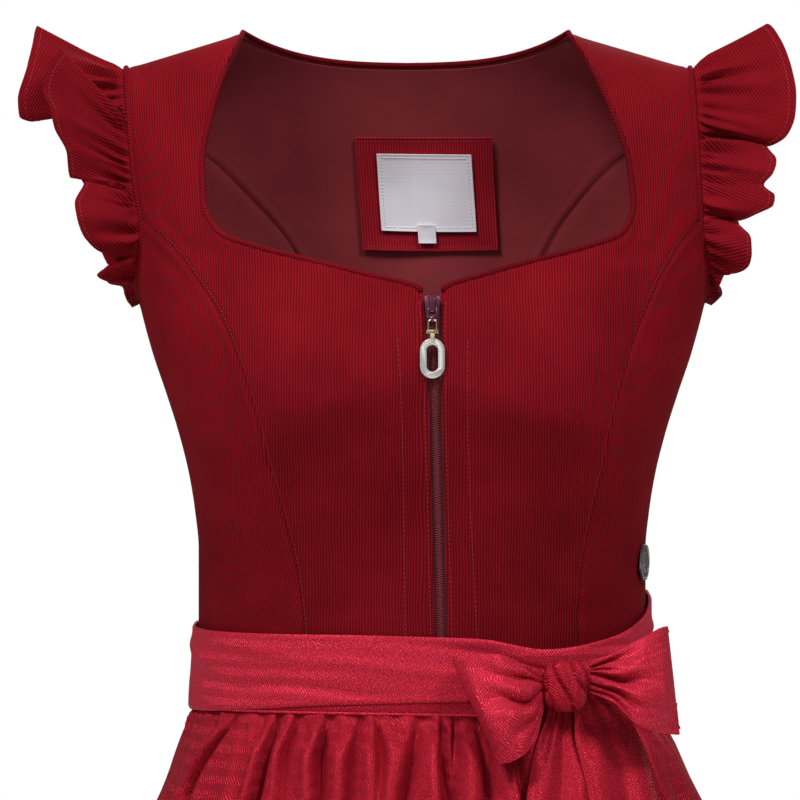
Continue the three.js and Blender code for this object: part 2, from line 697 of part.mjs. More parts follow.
function ruffle(side) {
  const armAt = (along) => {
    const { phi, z } = armPoint(Math.abs(along) * ARM_STEPS, along >= 0 ? 'front' : 'back', side)
    return bodyPoint(phi, z).addScaledVector(bodyNormal(phi, z), -CLOTH / 2)
  }
  const flare = RUFFLE.flare * DEG
  const lateral = new THREE.Vector3(side, 0, 0)
  const behind = RUFFLE_BACKS[NAMES[side]].map(({ along, reach, swing, slide }) => {
    const p = armAt(along)
    const radial = new THREE.Vector3(0, p.y - RUFFLE.centreY, p.z - RUFFLE.centreZ).normalize()
    const tangent = armAt(along + 0.01).sub(armAt(along - 0.01)).normalize()
    p.addScaledVector(lateral, (reach + RUFFLE.foot) * Math.cos(flare) - swing * Math.sin(flare))
    p.addScaledVector(radial, (reach + RUFFLE.foot) * Math.sin(flare) + swing * Math.cos(flare))
    p.addScaledVector(tangent, slide)
    return { along, x: p.x, y: p.y, z: p.z }
  })
  const before = RUFFLE_EDGES[NAMES[side]].map(
    ({ along, x, z, ahead }) => ({ along, x, y: armAt(along).y - ahead, z }),
  )
  const edge = [...behind, ...before].map((point, row) => ({ row, ...point }))
  const columns = range(0, (edge.length - 1) * RUFFLE.halfSteps)
    .map((k) => read(edge, 'row', k / RUFFLE.halfSteps))
  const grid = range(0, RUFFLE.rows).map((i) => columns.map(({ along, x, y, z }) => {
    const foot = armAt(along).addScaledVector(lateral, RUFFLE.foot)
    return foot.lerp(new THREE.Vector3(x, y, z), i / RUFFLE.rows)
  }))
  add(`ruffle_${NAMES[side]}`, sheet(grid, RUFFLE.thick), 'corduroy')
}
ruffle(1)
ruffle(-1)

// Zip tape with its coil raised between the front edges
const TAPE_PROFILE = [
  { x: -9.5, out: 0 },
  { x: -5, out: 0 },
  { x: -2.4, out: 0 },
  { x: -1.4, out: 2 },
  { x: 1.4, out: 2 },
  { x: 2.4, out: 0 },
  { x: 5, out: 0 },
  { x: 9.5, out: 0 },
]
const TAPE = { out: -CLOTH - 0.9, thick: 1, topZ: -151 }
{
  const heights = FRONT_INNER.filter((r) => r.row > NECK_ROW).map((r) => r.z)
  const rows = [TAPE.topZ, ...heights]
  const tapeGrid = (rise) => rows.map((z) => TAPE_PROFILE.map(({ x, out }) => {
    const phi = phiOf(zipX(z) + x, z)
    const base = bodyPoint(phi, z)
    return base.addScaledVector(bodyNormal(phi, z), TAPE.out + (rise ? out : -TAPE.thick))
  }))
  add('zip_tape', wall(tapeGrid(true), tapeGrid(false)), 'tape')
}

// Zip slider, its stub and the ring pull. In a local frame y runs up the zip and z stands out from it.
const SLIDER = { topZ: -150, high: 12.5, topHalf: 4.2, lowHalf: 3.4, from: 0.4, thick: 2.6 }
const ARCH = { top: 2, low: 10, half: 1.1, legs: 1.1, inside: 5.5, outside: 6.5 }
const STUB = {
  axisDown: 8, // hinge on the slider's arch, below the slider's top
  axisOut: 4.5,
  half: 2.4,
  eyeHalf: 1.5,
  eyeLow: 3.3,
  neckHalf: 1,
  thick: 0.9,
  length: 6, // from one hinge to the next
  barrel: 1.25,
  bore: 0.8,
}
const RING = { wire: 0.45, wireHalf: 2.1, legs: 5.4, bar: [6.4, 1.9, 1.7], neck: [2.2, 3.4, 1.4] }
const OVAL = { wide: 13, high: 21, holeWide: 6, holeHigh: 14, thick: 1.3, top: -9.4 }

const wasm = await Module()
wasm.setup()

function toSolid(geometry) {
  const bare = geometry.clone()
  for (const key of Object.keys(bare.attributes)) {
    if (key !== 'position') bare.deleteAttribute(key)
  }
  const merged = mergeVertices(bare, 1e-4)
  return new wasm.Manifold(new wasm.Mesh({
    numProp: 3,
    vertProperties: new Float32Array(merged.getAttribute('position').array),
    triVerts: new Uint32Array(merged.getIndex().array),
  }))
}

function joined(geometries) {
  const whole = geometries.map(toSolid).reduce((a, b) => a.add(b))
  const { vertProperties, triVerts } = whole.getMesh()
  const geometry = new THREE.BufferGeometry()
  geometry.setAttribute('position', new THREE.BufferAttribute(new Float32Array(vertProperties), 3))
  geometry.setIndex([...triVerts])
  geometry.computeVertexNormals()
  return geometry
}

const polygon = (corners) => new THREE.Shape(corners.map(([x, y]) => new THREE.Vector2(x, y)))
function extruded(shape, depth, curveSegments = 8) {
  return new THREE.ExtrudeGeometry(shape, { depth, bevelEnabled: false, curveSegments })
}

function stadium(wide, high) {
  const r = wide / 2
  const straight = high / 2 - r
  const path = new THREE.Shape()
  path.absarc(0, straight, r, 0, Math.PI)
  path.absarc(0, -straight, r, Math.PI, 2 * Math.PI)
  path.closePath()
  return path
}

{
  const seat = (z) => bodyPoint(phiOf(zipX(z), z), z)
  const top = seat(SLIDER.topZ)
  const low = seat(SLIDER.topZ - SLIDER.high)
  const slope = Math.atan2(top.y - low.y, top.z - low.z)
  const along = new THREE.Group()
  along.position.copy(top)
  along.rotation.x = Math.PI / 2 - slope
  dress.add(along)

  const bodyShape = polygon([
    [-SLIDER.topHalf + 1.2, 0],
    [-SLIDER.topHalf, -1.6],
    [-SLIDER.topHalf + 0.4, -5],
    [-SLIDER.lowHalf, -SLIDER.high + 1],
    [-SLIDER.lowHalf + 1, -SLIDER.high],
    [SLIDER.lowHalf - 1, -SLIDER.high],
    [SLIDER.lowHalf, -SLIDER.high + 1],
    [SLIDER.topHalf - 0.4, -5],
    [SLIDER.topHalf, -1.6],
    [SLIDER.topHalf - 1.2, 0],
  ])
  const body = extruded(bodyShape, SLIDER.thick).translate(0, 0, SLIDER.from)
  const face = SLIDER.from + SLIDER.thick - 0.2
  // Side outline of the arch, x along the zip and y outward, then turned to stand on the slider
  const archShape = polygon([
    [-ARCH.low, face],
    [-ARCH.low, ARCH.outside - 0.6],
    [-ARCH.low + 0.6, ARCH.outside],
    [-ARCH.top - 0.6, ARCH.outside],
    [-ARCH.top, ARCH.outside - 0.6],
    [-ARCH.top, face],
    [-ARCH.top - ARCH.legs, face],
    [-ARCH.top - ARCH.legs, ARCH.inside],
    [-ARCH.low + ARCH.legs, ARCH.inside],
    [-ARCH.low + ARCH.legs, face],
  ])
  const arch = extruded(archShape, 2 * ARCH.half).translate(0, 0, -ARCH.half)
  arch.applyMatrix4(new THREE.Matrix4().makeBasis(
    new THREE.Vector3(0, 1, 0),
    new THREE.Vector3(0, 0, 1),
    new THREE.Vector3(1, 0, 0),
  ))
  const slider = add('zip_slider', joined([body, arch]), 'slider')
  along.add(slider)

  const plate = polygon([
    [-STUB.half, 0.5],
    [-STUB.half, -STUB.eyeLow - 0.2],
    [-STUB.neckHalf, -STUB.eyeLow - 1],
    [-STUB.neckHalf, -STUB.length + STUB.barrel - 0.3],
    [STUB.neckHalf, -STUB.length + STUB.barrel - 0.3],
    [STUB.neckHalf, -STUB.eyeLow - 1],
    [STUB.half, -STUB.eyeLow - 0.2],
    [STUB.half, 0.5],
  ])
  plate.holes.push(polygon([
    [-STUB.eyeHalf, -0.5],
    [STUB.eyeHalf, -0.5],
    [STUB.eyeHalf, -STUB.eyeLow],
    [-STUB.eyeHalf, -STUB.eyeLow],
  ]))
  const flat = extruded(plate, STUB.thick).translate(0, 0, -STUB.thick / 2)
  const tube = new THREE.Shape()
  tube.absarc(0, 0, STUB.barrel, 0, 2 * Math.PI)
  const bore = new THREE.Path()
  bore.absarc(0, 0, STUB.bore, 0, 2 * Math.PI)
  tube.holes.push(bore)
  const barrel = extruded(tube, 2 * STUB.neckHalf, 7)
  barrel.rotateY(Math.PI / 2)
  barrel.translate(-STUB.neckHalf, -STUB.length, 0)
  const stub = add('zip_stub', joined([flat, barrel]), 'slider')
  stub.position.set(0, -STUB.axisDown, STUB.axisOut)
  along.add(stub)

  const hang = new THREE.Vector3(0, -STUB.axisDown - STUB.length, STUB.axisOut)
  along.updateMatrix()
  hang.applyMatrix4(along.matrix)
  const reach = RING.wireHalf
  const wirePath = [
    [-reach, -RING.legs],
    [-reach, -1],
    [-reach + 0.5, -0.25],
    [-reach + 1, 0],
    [reach - 1, 0],
    [reach - 0.5, -0.25],
    [reach, -1],
    [reach, -RING.legs],
  ].map(([x, y]) => new THREE.Vector3(x, y, 0))
  const wire = cord(wirePath, RING.wire, 8, false, new THREE.Vector3(0, 0, 1))
  const bar = new THREE.BoxGeometry(...RING.bar).translate(0, -RING.legs - 0.6, 0)
  const neck = new THREE.BoxGeometry(...RING.neck).translate(0, OVAL.top + RING.neck[1] / 2 - 0.6, 0)
  const oval = stadium(OVAL.wide, OVAL.high)
  oval.holes.push(stadium(OVAL.holeWide, OVAL.holeHigh))
  const link = extruded(oval, OVAL.thick, 8)
    .translate(0, OVAL.top - OVAL.high / 2, -OVAL.thick / 2)
  const pull = add('zip_ring', joined([wire, bar, neck, link]), 'metal')
  pull.rotation.x = Math.PI / 2
  pull.position.copy(hang)
}

// Patch, label and size tag on the lining, seen through the neck: left, right, top and low edges
const ON_LINING = [
  { name: 'neck_patch', x0: 46, x1: -33, top: -53, low: -117, out: 4.3, cols: 6, rows: 5 },
  { name: 'neck_label', x0: 34, x1: -21.5, top: -62, low: -106, out: 6, cols: 6, rows: 4 },
  { name: 'size_tag', x0: 10, x1: 0, top: -106.4, low: -113, out: 6, cols: 1, rows: 1 },
]
const LABEL_THICK = 1
for (const { name, x0, x1, top, low, out, cols, rows } of ON_LINING) {
  const grid = range(0, rows).map((i) => range(0, cols).map((j) => {
    const z = mix(top, low, i / rows)
    return plan(phiOf(mix(x0, x1, j / cols), z, 'back'), z)
  }))
  const cloth = name === 'neck_patch' ? 'corduroy' : 'label'
  add(name, wall(lift(grid, -out), lift(grid, -out - LABEL_THICK)), cloth)
}

// Round badge on the wearer's left side: a disc with a rim and a domed middle
{
  const { radius, thick } = BADGE
  const profile = [
    [0, 0],
    [radius, 0],
    [radius, thick],
    [radius - 1, thick + 0.4],
    [radius - 2.2, thick],
    [radius * 0.45, thick],
    [radius * 0.25, thick + 0.9],
    [0, thick + 1.1],
  ].map(([r, h]) => new THREE.Vector2(r, h))
  const disc = new THREE.LatheGeometry(profile, 16)
  const phi = phiOf(BADGE.x, BADGE.z)
  const normal = bodyNormal(phi, BADGE.z)
  const at = bodyPoint(phi, BADGE.z).addScaledVector(normal, 0.9)
  disc.applyQuaternion(new THREE.Quaternion().setFromUnitVectors(new THREE.Vector3(0, 1, 0), normal))
  disc.translate(at.x, at.y, at.z)
  add('badge', disc, 'metal')
}

// Skirt and apron form: sections of the same roundness as the waist, moved out along the surface
function skirtPoint(phi, z, out) {
  const row = read(SKIRT, 'z', z)
  const power = 2 / 2.3
  const facing = Math.cos(phi * DEG)
  const point = (p, r) => new THREE.Vector3(
    r.side * powered(Math.sin(p * DEG), power),
    -(Math.cos(p * DEG) >= 0 ? r.front : r.back) * powered(Math.cos(p * DEG), power),
    z,
  )
  const across = point(phi + 1, row).sub(point(phi - 1, row))
  const normal = new THREE.Vector3(across.y, -across.x, 0).normalize()
  if (!facing && !across.length()) normal.set(Math.sign(phi), 0, 0)
  return point(phi, row).addScaledVector(normal, out)
}

// Uneven positions along a gathered edge, from 0 to 1
function uneven(count, seed) {
  const widths = range(0, count - 1).map(
    (i) => 1 + 0.3 * Math.sin(2.4 * i + seed) + 0.18 * Math.sin(5.1 * i),
  )
  const total = widths.reduce((a, b) => a + b, 0)
  let sum = 0
  return [0, ...widths.map((w) => {
    sum += w / total
    return sum
  })]
}
const unlike = (i, seed) => 0.82 + 0.18 * Math.sin(1.7 * i + seed)

// Six skirt panels, from seam to seam round the waist, with their number of folds
const SKIRT_PANELS = [
  { name: 'skirt_front_left', from: 0, to: 60, folds: 6 },
  { name: 'skirt_side_left', from: 60, to: 130, folds: 8 },
  { name: 'skirt_back_left', from: 130, to: 180, folds: 7 },
  { name: 'skirt_back_right', from: 180, to: 230, folds: 7 },
  { name: 'skirt_side_right', from: 230, to: 300, folds: 8 },
  { name: 'skirt_front_right', from: 300, to: 360, folds: 6 },
]
const SKIRT_ROWS = [-372.3, -380, -394, -430, -500, -620, -790, WAIST_Z - SKIRT_LENGTH]
const SHELTER = { from: 92, to: 112, share: 0.3 } // folds are pressed flatter beneath the apron
for (const { name, from, to, folds } of SKIRT_PANELS) {
  const columns = uneven(folds * 2, from)
  const grid = (inward) => SKIRT_ROWS.map((z) => columns.map((share, j) => {
    const phi = mix(from, to, share)
    const round = Math.min(phi, 360 - phi)
    const free = mix(SHELTER.share, 1, ease((round - SHELTER.from) / (SHELTER.to - SHELTER.from)))
    const edge = j === 0 || j === columns.length - 1
    const wave = (j % 2 ? unlike(j, from) : -(edge ? 0.82 : unlike(j, from + 1)))
    return skirtPoint(phi, z, read(SKIRT, 'z', z).fold * free * wave - inward)
  }))
  const thick = CLOTH + 0.2
  add(name, wall(
    inset(grid(0), { left: SEAM, right: SEAM }),
    inset(grid(thick), { left: SEAM, right: SEAM }),
  ), 'corduroy')
}

// Apron, gathered to its waistband
const APRON_HEM = 2.5 // degrees of flat hem at each side
const APRON_ROWS = [APRON_TOP_Z, -386, -398, -420, -460, -530, -650, -790]
const APRON_LOW_Z = APRON_TOP_Z - APRON_LENGTH
{
  const inside = uneven(APRON_GATHERS * 2, 1)
    .map((t) => mix(-APRON_EDGE + APRON_HEM, APRON_EDGE - APRON_HEM, t))
  const columns = [-APRON_EDGE, ...inside, APRON_EDGE]
  const grid = (inward) => [...APRON_ROWS, APRON_LOW_Z].map((z) => columns.map((phi, j) => {
    const row = read(APRON, 'z', z)
    const hem = j === 0 || j === columns.length - 1
    const fine = hem ? 0 : row.fine * (j % 2 ? 1 : -1) * unlike(j, 2)
    const broad = hem ? 0 : row.broad * Math.cos((Math.PI * j) / 2) * unlike(j, 4)
    return skirtPoint(phi, z, row.out + fine + broad - inward)
  }))
  add('apron_panel', wall(grid(0), grid(SATIN + 0.4)), 'satin')
}

// Bands round the waist, on the bodice: a plan whose edges vary with the angle
function band(name, angles, edges, out, thick) {
  const build = (inward) => ['top', 'low'].map((edge) => angles.map((phi) => {
    const z = edges(phi)[edge]
    return bodyPoint(phi, z).addScaledVector(bodyNormal(phi, Math.max(z, -371)), out(phi) - inward)
  }))
  const seams = { left: SEAM, right: SEAM }
  add(name, wall(inset(build(0), seams), inset(build(thick), seams)), 'satin')
}
const angles = (from, to, steps) => range(0, steps).map((i) => mix(from, to, i / steps))

band(
  'apron_waistband',
  angles(-APRON_EDGE, APRON_EDGE, 36),
  () => ({ top: BAND.top, low: BAND.low }),
  () => BAND.out + SATIN,
  SATIN,
)

// The tie crosses the front from the wearer's right, goes to the bow, and comes round the back
const KNOT = { x: 75, y: -95.4, z: -354.5, halfX: 11.7, halfY: 9.5, halfZ: 14 }
const TIE = [
  { phi: -97, top: -326, low: -372 },
  { phi: -60, top: -328, low: -371 },
  { phi: -20, top: -328, low: -368.5 },
  { phi: 10, top: -330, low: -367 },
  { phi: 28, top: -336, low: -364.5 },
  { phi: 50, top: -331, low: -362 },
  { phi: 70, top: -322, low: -360 },
  { phi: 97, top: -309, low: -352 },
  { phi: 150, top: -316, low: -359 },
  { phi: 200, top: -322, low: -366 },
  { phi: 263, top: -326, low: -372 },
]
const tieOut = (phi) => {
  const round = Math.min(phi < 0 ? -phi : phi, 360 - phi)
  return mix(TIE_OUT, BAND.out + 0.1, ease((round - 100) / 30)) + SATIN
}
const tieEdges = (phi) => read(TIE, 'phi', phi)
const KNOT_ANGLE = 37 // the bow's knot covers the tie here
band('tie_front', angles(-APRON_EDGE, KNOT_ANGLE - 6, 26), tieEdges, tieOut, SATIN)
band('tie_left', angles(KNOT_ANGLE - 6, APRON_EDGE, 14), tieEdges, tieOut, SATIN)
band('tie_back', angles(APRON_EDGE, 360 - APRON_EDGE, 32), tieEdges, tieOut, SATIN)

// Bow loops: each row gives the ribbon's top and low edge, from the knot round the fold and back
const LOOPS = {
  right: [
    { at: 0, tx: 62.5, ty: -98, tz: -347, bx: 62.5, by: -99, bz: -367, puff: 0 },
    { at: 1, tx: 52, ty: -110, tz: -342, bx: 58, by: -114, bz: -382, puff: 3 },
    { at: 2, tx: 36, ty: -116, tz: -337, bx: 50, by: -121, bz: -390, puff: 5 },
    { at: 3, tx: 21, ty: -114, tz: -337, bx: 43, by: -120, bz: -393, puff: 4 },
    { at: 4, tx: 15.9, ty: -107, tz: -340, bx: 40, by: -116, bz: -393, puff: 0 },
    { at: 5, tx: 20, ty: -101.5, tz: -341, bx: 44, by: -112, bz: -391, puff: -1 },
    { at: 6, tx: 38, ty: -100, tz: -343, bx: 53, by: -109, bz: -386, puff: 0 },
    { at: 7, tx: 53, ty: -96.5, tz: -346, bx: 59, by: -104, bz: -377, puff: 0 },
    { at: 8, tx: 62.5, ty: -92, tz: -349, bx: 62.5, by: -94, bz: -365, puff: 0 },
  ],
  left: [
    { at: 0, tx: 87.5, ty: -96, tz: -341, bx: 87.5, by: -98, bz: -358, puff: 0 },
    { at: 1, tx: 98, ty: -102, tz: -338, bx: 99, by: -109, bz: -362, puff: 3 },
    { at: 2, tx: 112, ty: -99, tz: -331, bx: 112, by: -110, bz: -374, puff: 5 },
    { at: 3, tx: 126, ty: -90, tz: -325, bx: 128, by: -98, bz: -380, puff: 4 },
    { at: 4, tx: 130, ty: -81, tz: -324, bx: 136, by: -87, bz: -381, puff: 0 },
    { at: 5, tx: 125, ty: -74, tz: -326, bx: 129, by: -81, bz: -379, puff: 0 },
    { at: 6, tx: 112, ty: -75, tz: -333, bx: 112, by: -84, bz: -372, puff: 0 },
    { at: 7, tx: 98, ty: -82, tz: -340, bx: 99, by: -88, bz: -361, puff: 0 },
    { at: 8, tx: 87.5, ty: -88, tz: -344, bx: 87.5, by: -90, bz: -356, puff: 0 },
  ],
}
const LOOP_STEPS = 16
const LOOP_COLS = 4
for (const side of ['right', 'left']) {
  const table = LOOPS[side]
  const grid = range(0, LOOP_STEPS).map((i) => {
    const r = read(table, 'at', ((table.length - 1) * i) / LOOP_STEPS)
    return range(0, LOOP_COLS).map((j) => {
      const v = j / LOOP_COLS
      const p = new THREE.Vector3(mix(r.tx, r.bx, v), mix(r.ty, r.by, v), mix(r.tz, r.bz, v))
      p.y -= r.puff * Math.sin(Math.PI * v)
      return p
    })
  })
  add(`bow_loop_${side}`, sheet(grid, SATIN), 'satin')
}

// Knot: a boxy lump with ridges running down its front
{
  const lump = new THREE.SphereGeometry(1, 16, 10)
  const at = lump.getAttribute('position')
  const p = new THREE.Vector3()
  const BOXY = 3.2
  for (let i = 0; i < at.count; i += 1) {
    p.fromBufferAttribute(at, i)
    const size = (Math.abs(p.x) ** BOXY + Math.abs(p.y) ** BOXY + Math.abs(p.z) ** BOXY) ** (1 / BOXY)
    p.divideScalar(size)
    const ridge = 1 + 0.06 * Math.cos(p.x * 9) * (1 - Math.abs(p.z))
    at.setXYZ(i, KNOT.x + KNOT.halfX * p.x, KNOT.y + KNOT.halfY * p.y * ridge, KNOT.z + KNOT.halfZ * p.z)
  }
  add('bow_knot', lump, 'satin')
}

// Bow tails lie on the apron: edges seen from the front, and the distance from its folds
const TAILS = {
  right: [
    { z: -368.9, x0: 66, x1: 83, out: 9 },
    { z: -384, x0: 59, x1: 86, out: 3 },
    { z: -400, x0: 56, x1: 88, out: 2 },
    { z: -430, x0: 52, x1: 90, out: 2 },
    { z: -480, x0: 46, x1: 93, out: 2 },
    { z: -560, x0: 42, x1: 96, out: 2 },
    { z: -640, x0: 40, x1: 98, out: 2 },
    { z: -720, x0: 38, x1: 100, out: 2 },
    { z: -790, x0: 37, x1: 101, out: 2 },
  ],
  left: [
    { z: -368.9, x0: 80, x1: 100, out: 13 },
    { z: -380, x0: 80, x1: 112, out: 7 },
    { z: -394, x0: 83, x1: 119, out: 6.5 },
    { z: -414, x0: 87, x1: 124, out: 6 },
    { z: -470, x0: 93, x1: 136, out: 6 },
    { z: -550, x0: 99, x1: 147, out: 6 },
    { z: -640, x0: 104, x1: 155, out: 6 },
    { z: -720, x0: 107, x1: 160, out: 6 },
    { z: -775, x0: 109, x1: 163, out: 6 },
  ],
}
const TAIL = { cols: 6, rows: 10, slant: 26, fold: 1.6 }

// A point in front of the apron's highest folds, found from its place in the front view
function beforeApron(x, z, out) {
  const row = read(APRON, 'z', z)
  const reach = row.out + row.fine + row.broad + out
  let low = -89
  let high = 89
  for (let k = 0; k < 30; k += 1) {
    const phi = (low + high) / 2
    if (skirtPoint(phi, z, reach).x < x) low = phi
    else high = phi
  }
  return skirtPoint(low, z, reach)
}
for (const side of ['right', 'left']) {
  const table = TAILS[side]
  const topZ = table[0].z
  const lowZ = table[table.length - 1].z
  const grid = range(0, TAIL.rows).map((i) => range(0, TAIL.cols).map((j) => {
    const v = j / TAIL.cols
    const t = i / TAIL.rows
    const z = mix(topZ, lowZ, t) - TAIL.slant * t * (side === 'left' ? v : 1 - v)
    const r = read(table, 'z', Math.max(z, lowZ))
    const fold = TAIL.fold * (1 - Math.cos(v * Math.PI * 4)) * 0.5 * ease(t * 4)
    return beforeApron(mix(r.x0, r.x1, v), z, r.out + fold)
  }))
  add(`bow_tail_${side}`, sheet(grid, SATIN), 'satin')
}

export default dress
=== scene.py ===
# %% [markdown]
# # A folk dress with its apron
# The dress hangs as if a figure wore it: a corduroy bodice with a zip, gathered sleeve ruffles,
# a gathered skirt, and a satin apron tied in a bow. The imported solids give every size.
# Each solid is soft cloth in truth, so each gets a finer sheet of its own on the same form.

import math

import bpy
import numpy as np
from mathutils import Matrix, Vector


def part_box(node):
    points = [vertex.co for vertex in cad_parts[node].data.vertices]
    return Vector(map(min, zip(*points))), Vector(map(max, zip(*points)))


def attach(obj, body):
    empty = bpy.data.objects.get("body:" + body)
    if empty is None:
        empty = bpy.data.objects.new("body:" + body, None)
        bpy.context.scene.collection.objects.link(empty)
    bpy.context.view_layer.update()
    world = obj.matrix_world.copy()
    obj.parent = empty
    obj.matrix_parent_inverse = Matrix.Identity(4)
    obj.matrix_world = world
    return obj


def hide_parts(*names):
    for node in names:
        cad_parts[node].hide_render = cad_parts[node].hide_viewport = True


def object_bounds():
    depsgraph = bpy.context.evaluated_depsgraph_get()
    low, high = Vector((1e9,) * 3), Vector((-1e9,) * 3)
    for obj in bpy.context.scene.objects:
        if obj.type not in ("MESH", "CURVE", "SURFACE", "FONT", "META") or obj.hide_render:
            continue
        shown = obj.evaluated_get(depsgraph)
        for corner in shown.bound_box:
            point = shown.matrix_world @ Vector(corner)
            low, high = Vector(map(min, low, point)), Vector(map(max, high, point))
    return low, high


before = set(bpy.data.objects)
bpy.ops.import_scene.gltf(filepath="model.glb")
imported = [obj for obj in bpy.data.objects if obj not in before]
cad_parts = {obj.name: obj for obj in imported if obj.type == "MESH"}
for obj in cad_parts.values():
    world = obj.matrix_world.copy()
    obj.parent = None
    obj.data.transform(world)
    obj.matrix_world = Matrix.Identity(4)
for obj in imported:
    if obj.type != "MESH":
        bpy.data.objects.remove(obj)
CAD_BOX = [list(corner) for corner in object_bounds()]
bpy.ops.object.select_all(action="DESELECT")
MM = 0.001
print("solids:", len(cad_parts), "box in metres:", CAD_BOX)

# %% [markdown]
# ## Camera
# A studio photographer stands well back, so that the shoulders and the waist are seen at one scale.
# The camera is level with the bust, 2.3 m in front, with a long lens.

# %% Camera
SENSOR, FOCAL_LENGTH = 36, 188.2  # millimetres
CAMERA_PLACE = (-0.0121, -2.3, -0.204)
lens = bpy.data.cameras.new("camera")
lens.sensor_width = SENSOR
lens.lens = FOCAL_LENGTH
camera = bpy.data.objects.new("camera", lens)
camera.location = CAMERA_PLACE
camera.rotation_euler = (math.radians(90), 0, 0)
bpy.context.scene.collection.objects.link(camera)
bpy.context.scene.camera = camera
bpy.context.scene.view_settings.view_transform = "Standard"
print("camera in metres:", CAMERA_PLACE)

# %% [markdown]
# ## Studio
# A pale surround gives even light, and the paper behind the dress is lit to plain white. Two large
# soft lamps above and to the sides give the bust and the folds their form, a weak one fills from the
# front, and one behind keeps the back readable.
# The floor is plain and pale.

# %% Studio
SURROUND = 0.16
LAMPS_AIM = Vector((0, 0, -0.35))
FLOOR_RADIUS, FLOOR_GAP = 2.2, 0.012
world = bpy.data.worlds.new("studio")
bpy.context.scene.world = world
world.use_nodes = True
studio = world.node_tree
walls = studio.nodes["Background"]
walls.inputs["Color"].default_value = (1, 1, 1, 1)
walls.inputs["Strength"].default_value = SURROUND
sheet_of_white = studio.nodes.new("ShaderNodeBackground")
seen = studio.nodes.new("ShaderNodeLightPath")
either = studio.nodes.new("ShaderNodeMixShader")
studio.links.new(seen.outputs["Is Camera Ray"], either.inputs[0])
studio.links.new(walls.outputs[0], either.inputs[1])
studio.links.new(sheet_of_white.outputs[0], either.inputs[2])
studio.links.new(either.outputs[0], studio.nodes["World Output"].inputs[0])
sheet_of_white.inputs["Color"].default_value = (1, 1, 1, 1)

LAMPS = (
    ("key", (-1.25, -1.6, 2.1), 0.8, 76),
    ("second", (1.3, -1.7, 2.1), 0.8, 56),
    ("front", (-0.2, -2.6, 0.1), 0.9, 4),
    ("back", (0.6, 2.4, 1.2), 1.6, 40),
)
for name, place, size, power in LAMPS:
    lamp = bpy.data.lights.new(name, "AREA")
    lamp.size, lamp.energy = size, power
    holder = bpy.data.objects.new(name, lamp)
    holder.location = place
    aim = LAMPS_AIM - Vector(place)
    holder.rotation_euler = aim.to_track_quat("-Z", "Y").to_euler()
    bpy.context.scene.collection.objects.link(holder)

bpy.ops.mesh.primitive_circle_add(
    vertices=96, radius=FLOOR_RADIUS, fill_type="NGON", location=(0, 0, CAD_BOX[0][2] - FLOOR_GAP)
)
floor = bpy.context.object
floor.name = "floor"
bpy.ops.object.transform_apply(location=True)
print("lamps:", len(LAMPS))

# %% [markdown]
# ## Colours and nodes
# Colours are written as on a screen and turned to linear light by one function.
# One helper adds a node with its settings and its links, so each material reads as a short list.

# %% Colour and node helpers
def linear(code):
    parts = [int(code[i : i + 2], 16) / 255 for i in (1, 3, 5)]
    flat = [p / 12.92 if p <= 0.04045 else ((p + 0.055) / 1.055) ** 2.4 for p in parts]
    return (*flat, 1)


def add_node(tree, kind, settings=None, **inputs):
    made = tree.nodes.new("ShaderNode" + kind)
    for key, value in (settings or {}).items():
        setattr(made, key, value)
    for key, value in inputs.items():
        place = int(key[1:]) if key[1:].isdigit() else key.replace("_", " ")
        socket = made.inputs[place]
        if isinstance(value, bpy.types.NodeSocket):
            tree.links.new(value, socket)
        else:
            socket.default_value = value
    return made


def new_material(name, **plain):
    material = bpy.data.materials.new(name)
    material.use_nodes = True
    shader = material.node_tree.nodes["Principled BSDF"]
    for key, value in plain.items():
        shader.inputs[key.replace("_", " ")].default_value = value
    return material, material.node_tree, shader


plain_floor, _, floor_shader = new_material("matt_floor_paint", Roughness=0.9)
floor_shader.inputs["Base Color"].default_value = linear("#efedea")
floor.data.materials.append(plain_floor)

# %% [markdown]
# ## Needle corduroy
# Corduroy is woven cotton with rows of cut pile, the wales. Needle corduroy has about sixteen
# wales to the inch, 1.6 mm each. The valleys between the wales are painted darker, as painted
# shade, and the pile lifts a soft sheen at glancing angles. The wales run along the cloth's own
# length, so the pattern reads the cloth map, which is in millimetres, and not the object's
# coordinates. Below the bust the colour is painted a little darker, as painted shade.

# %% Corduroy
WALE = 1.6


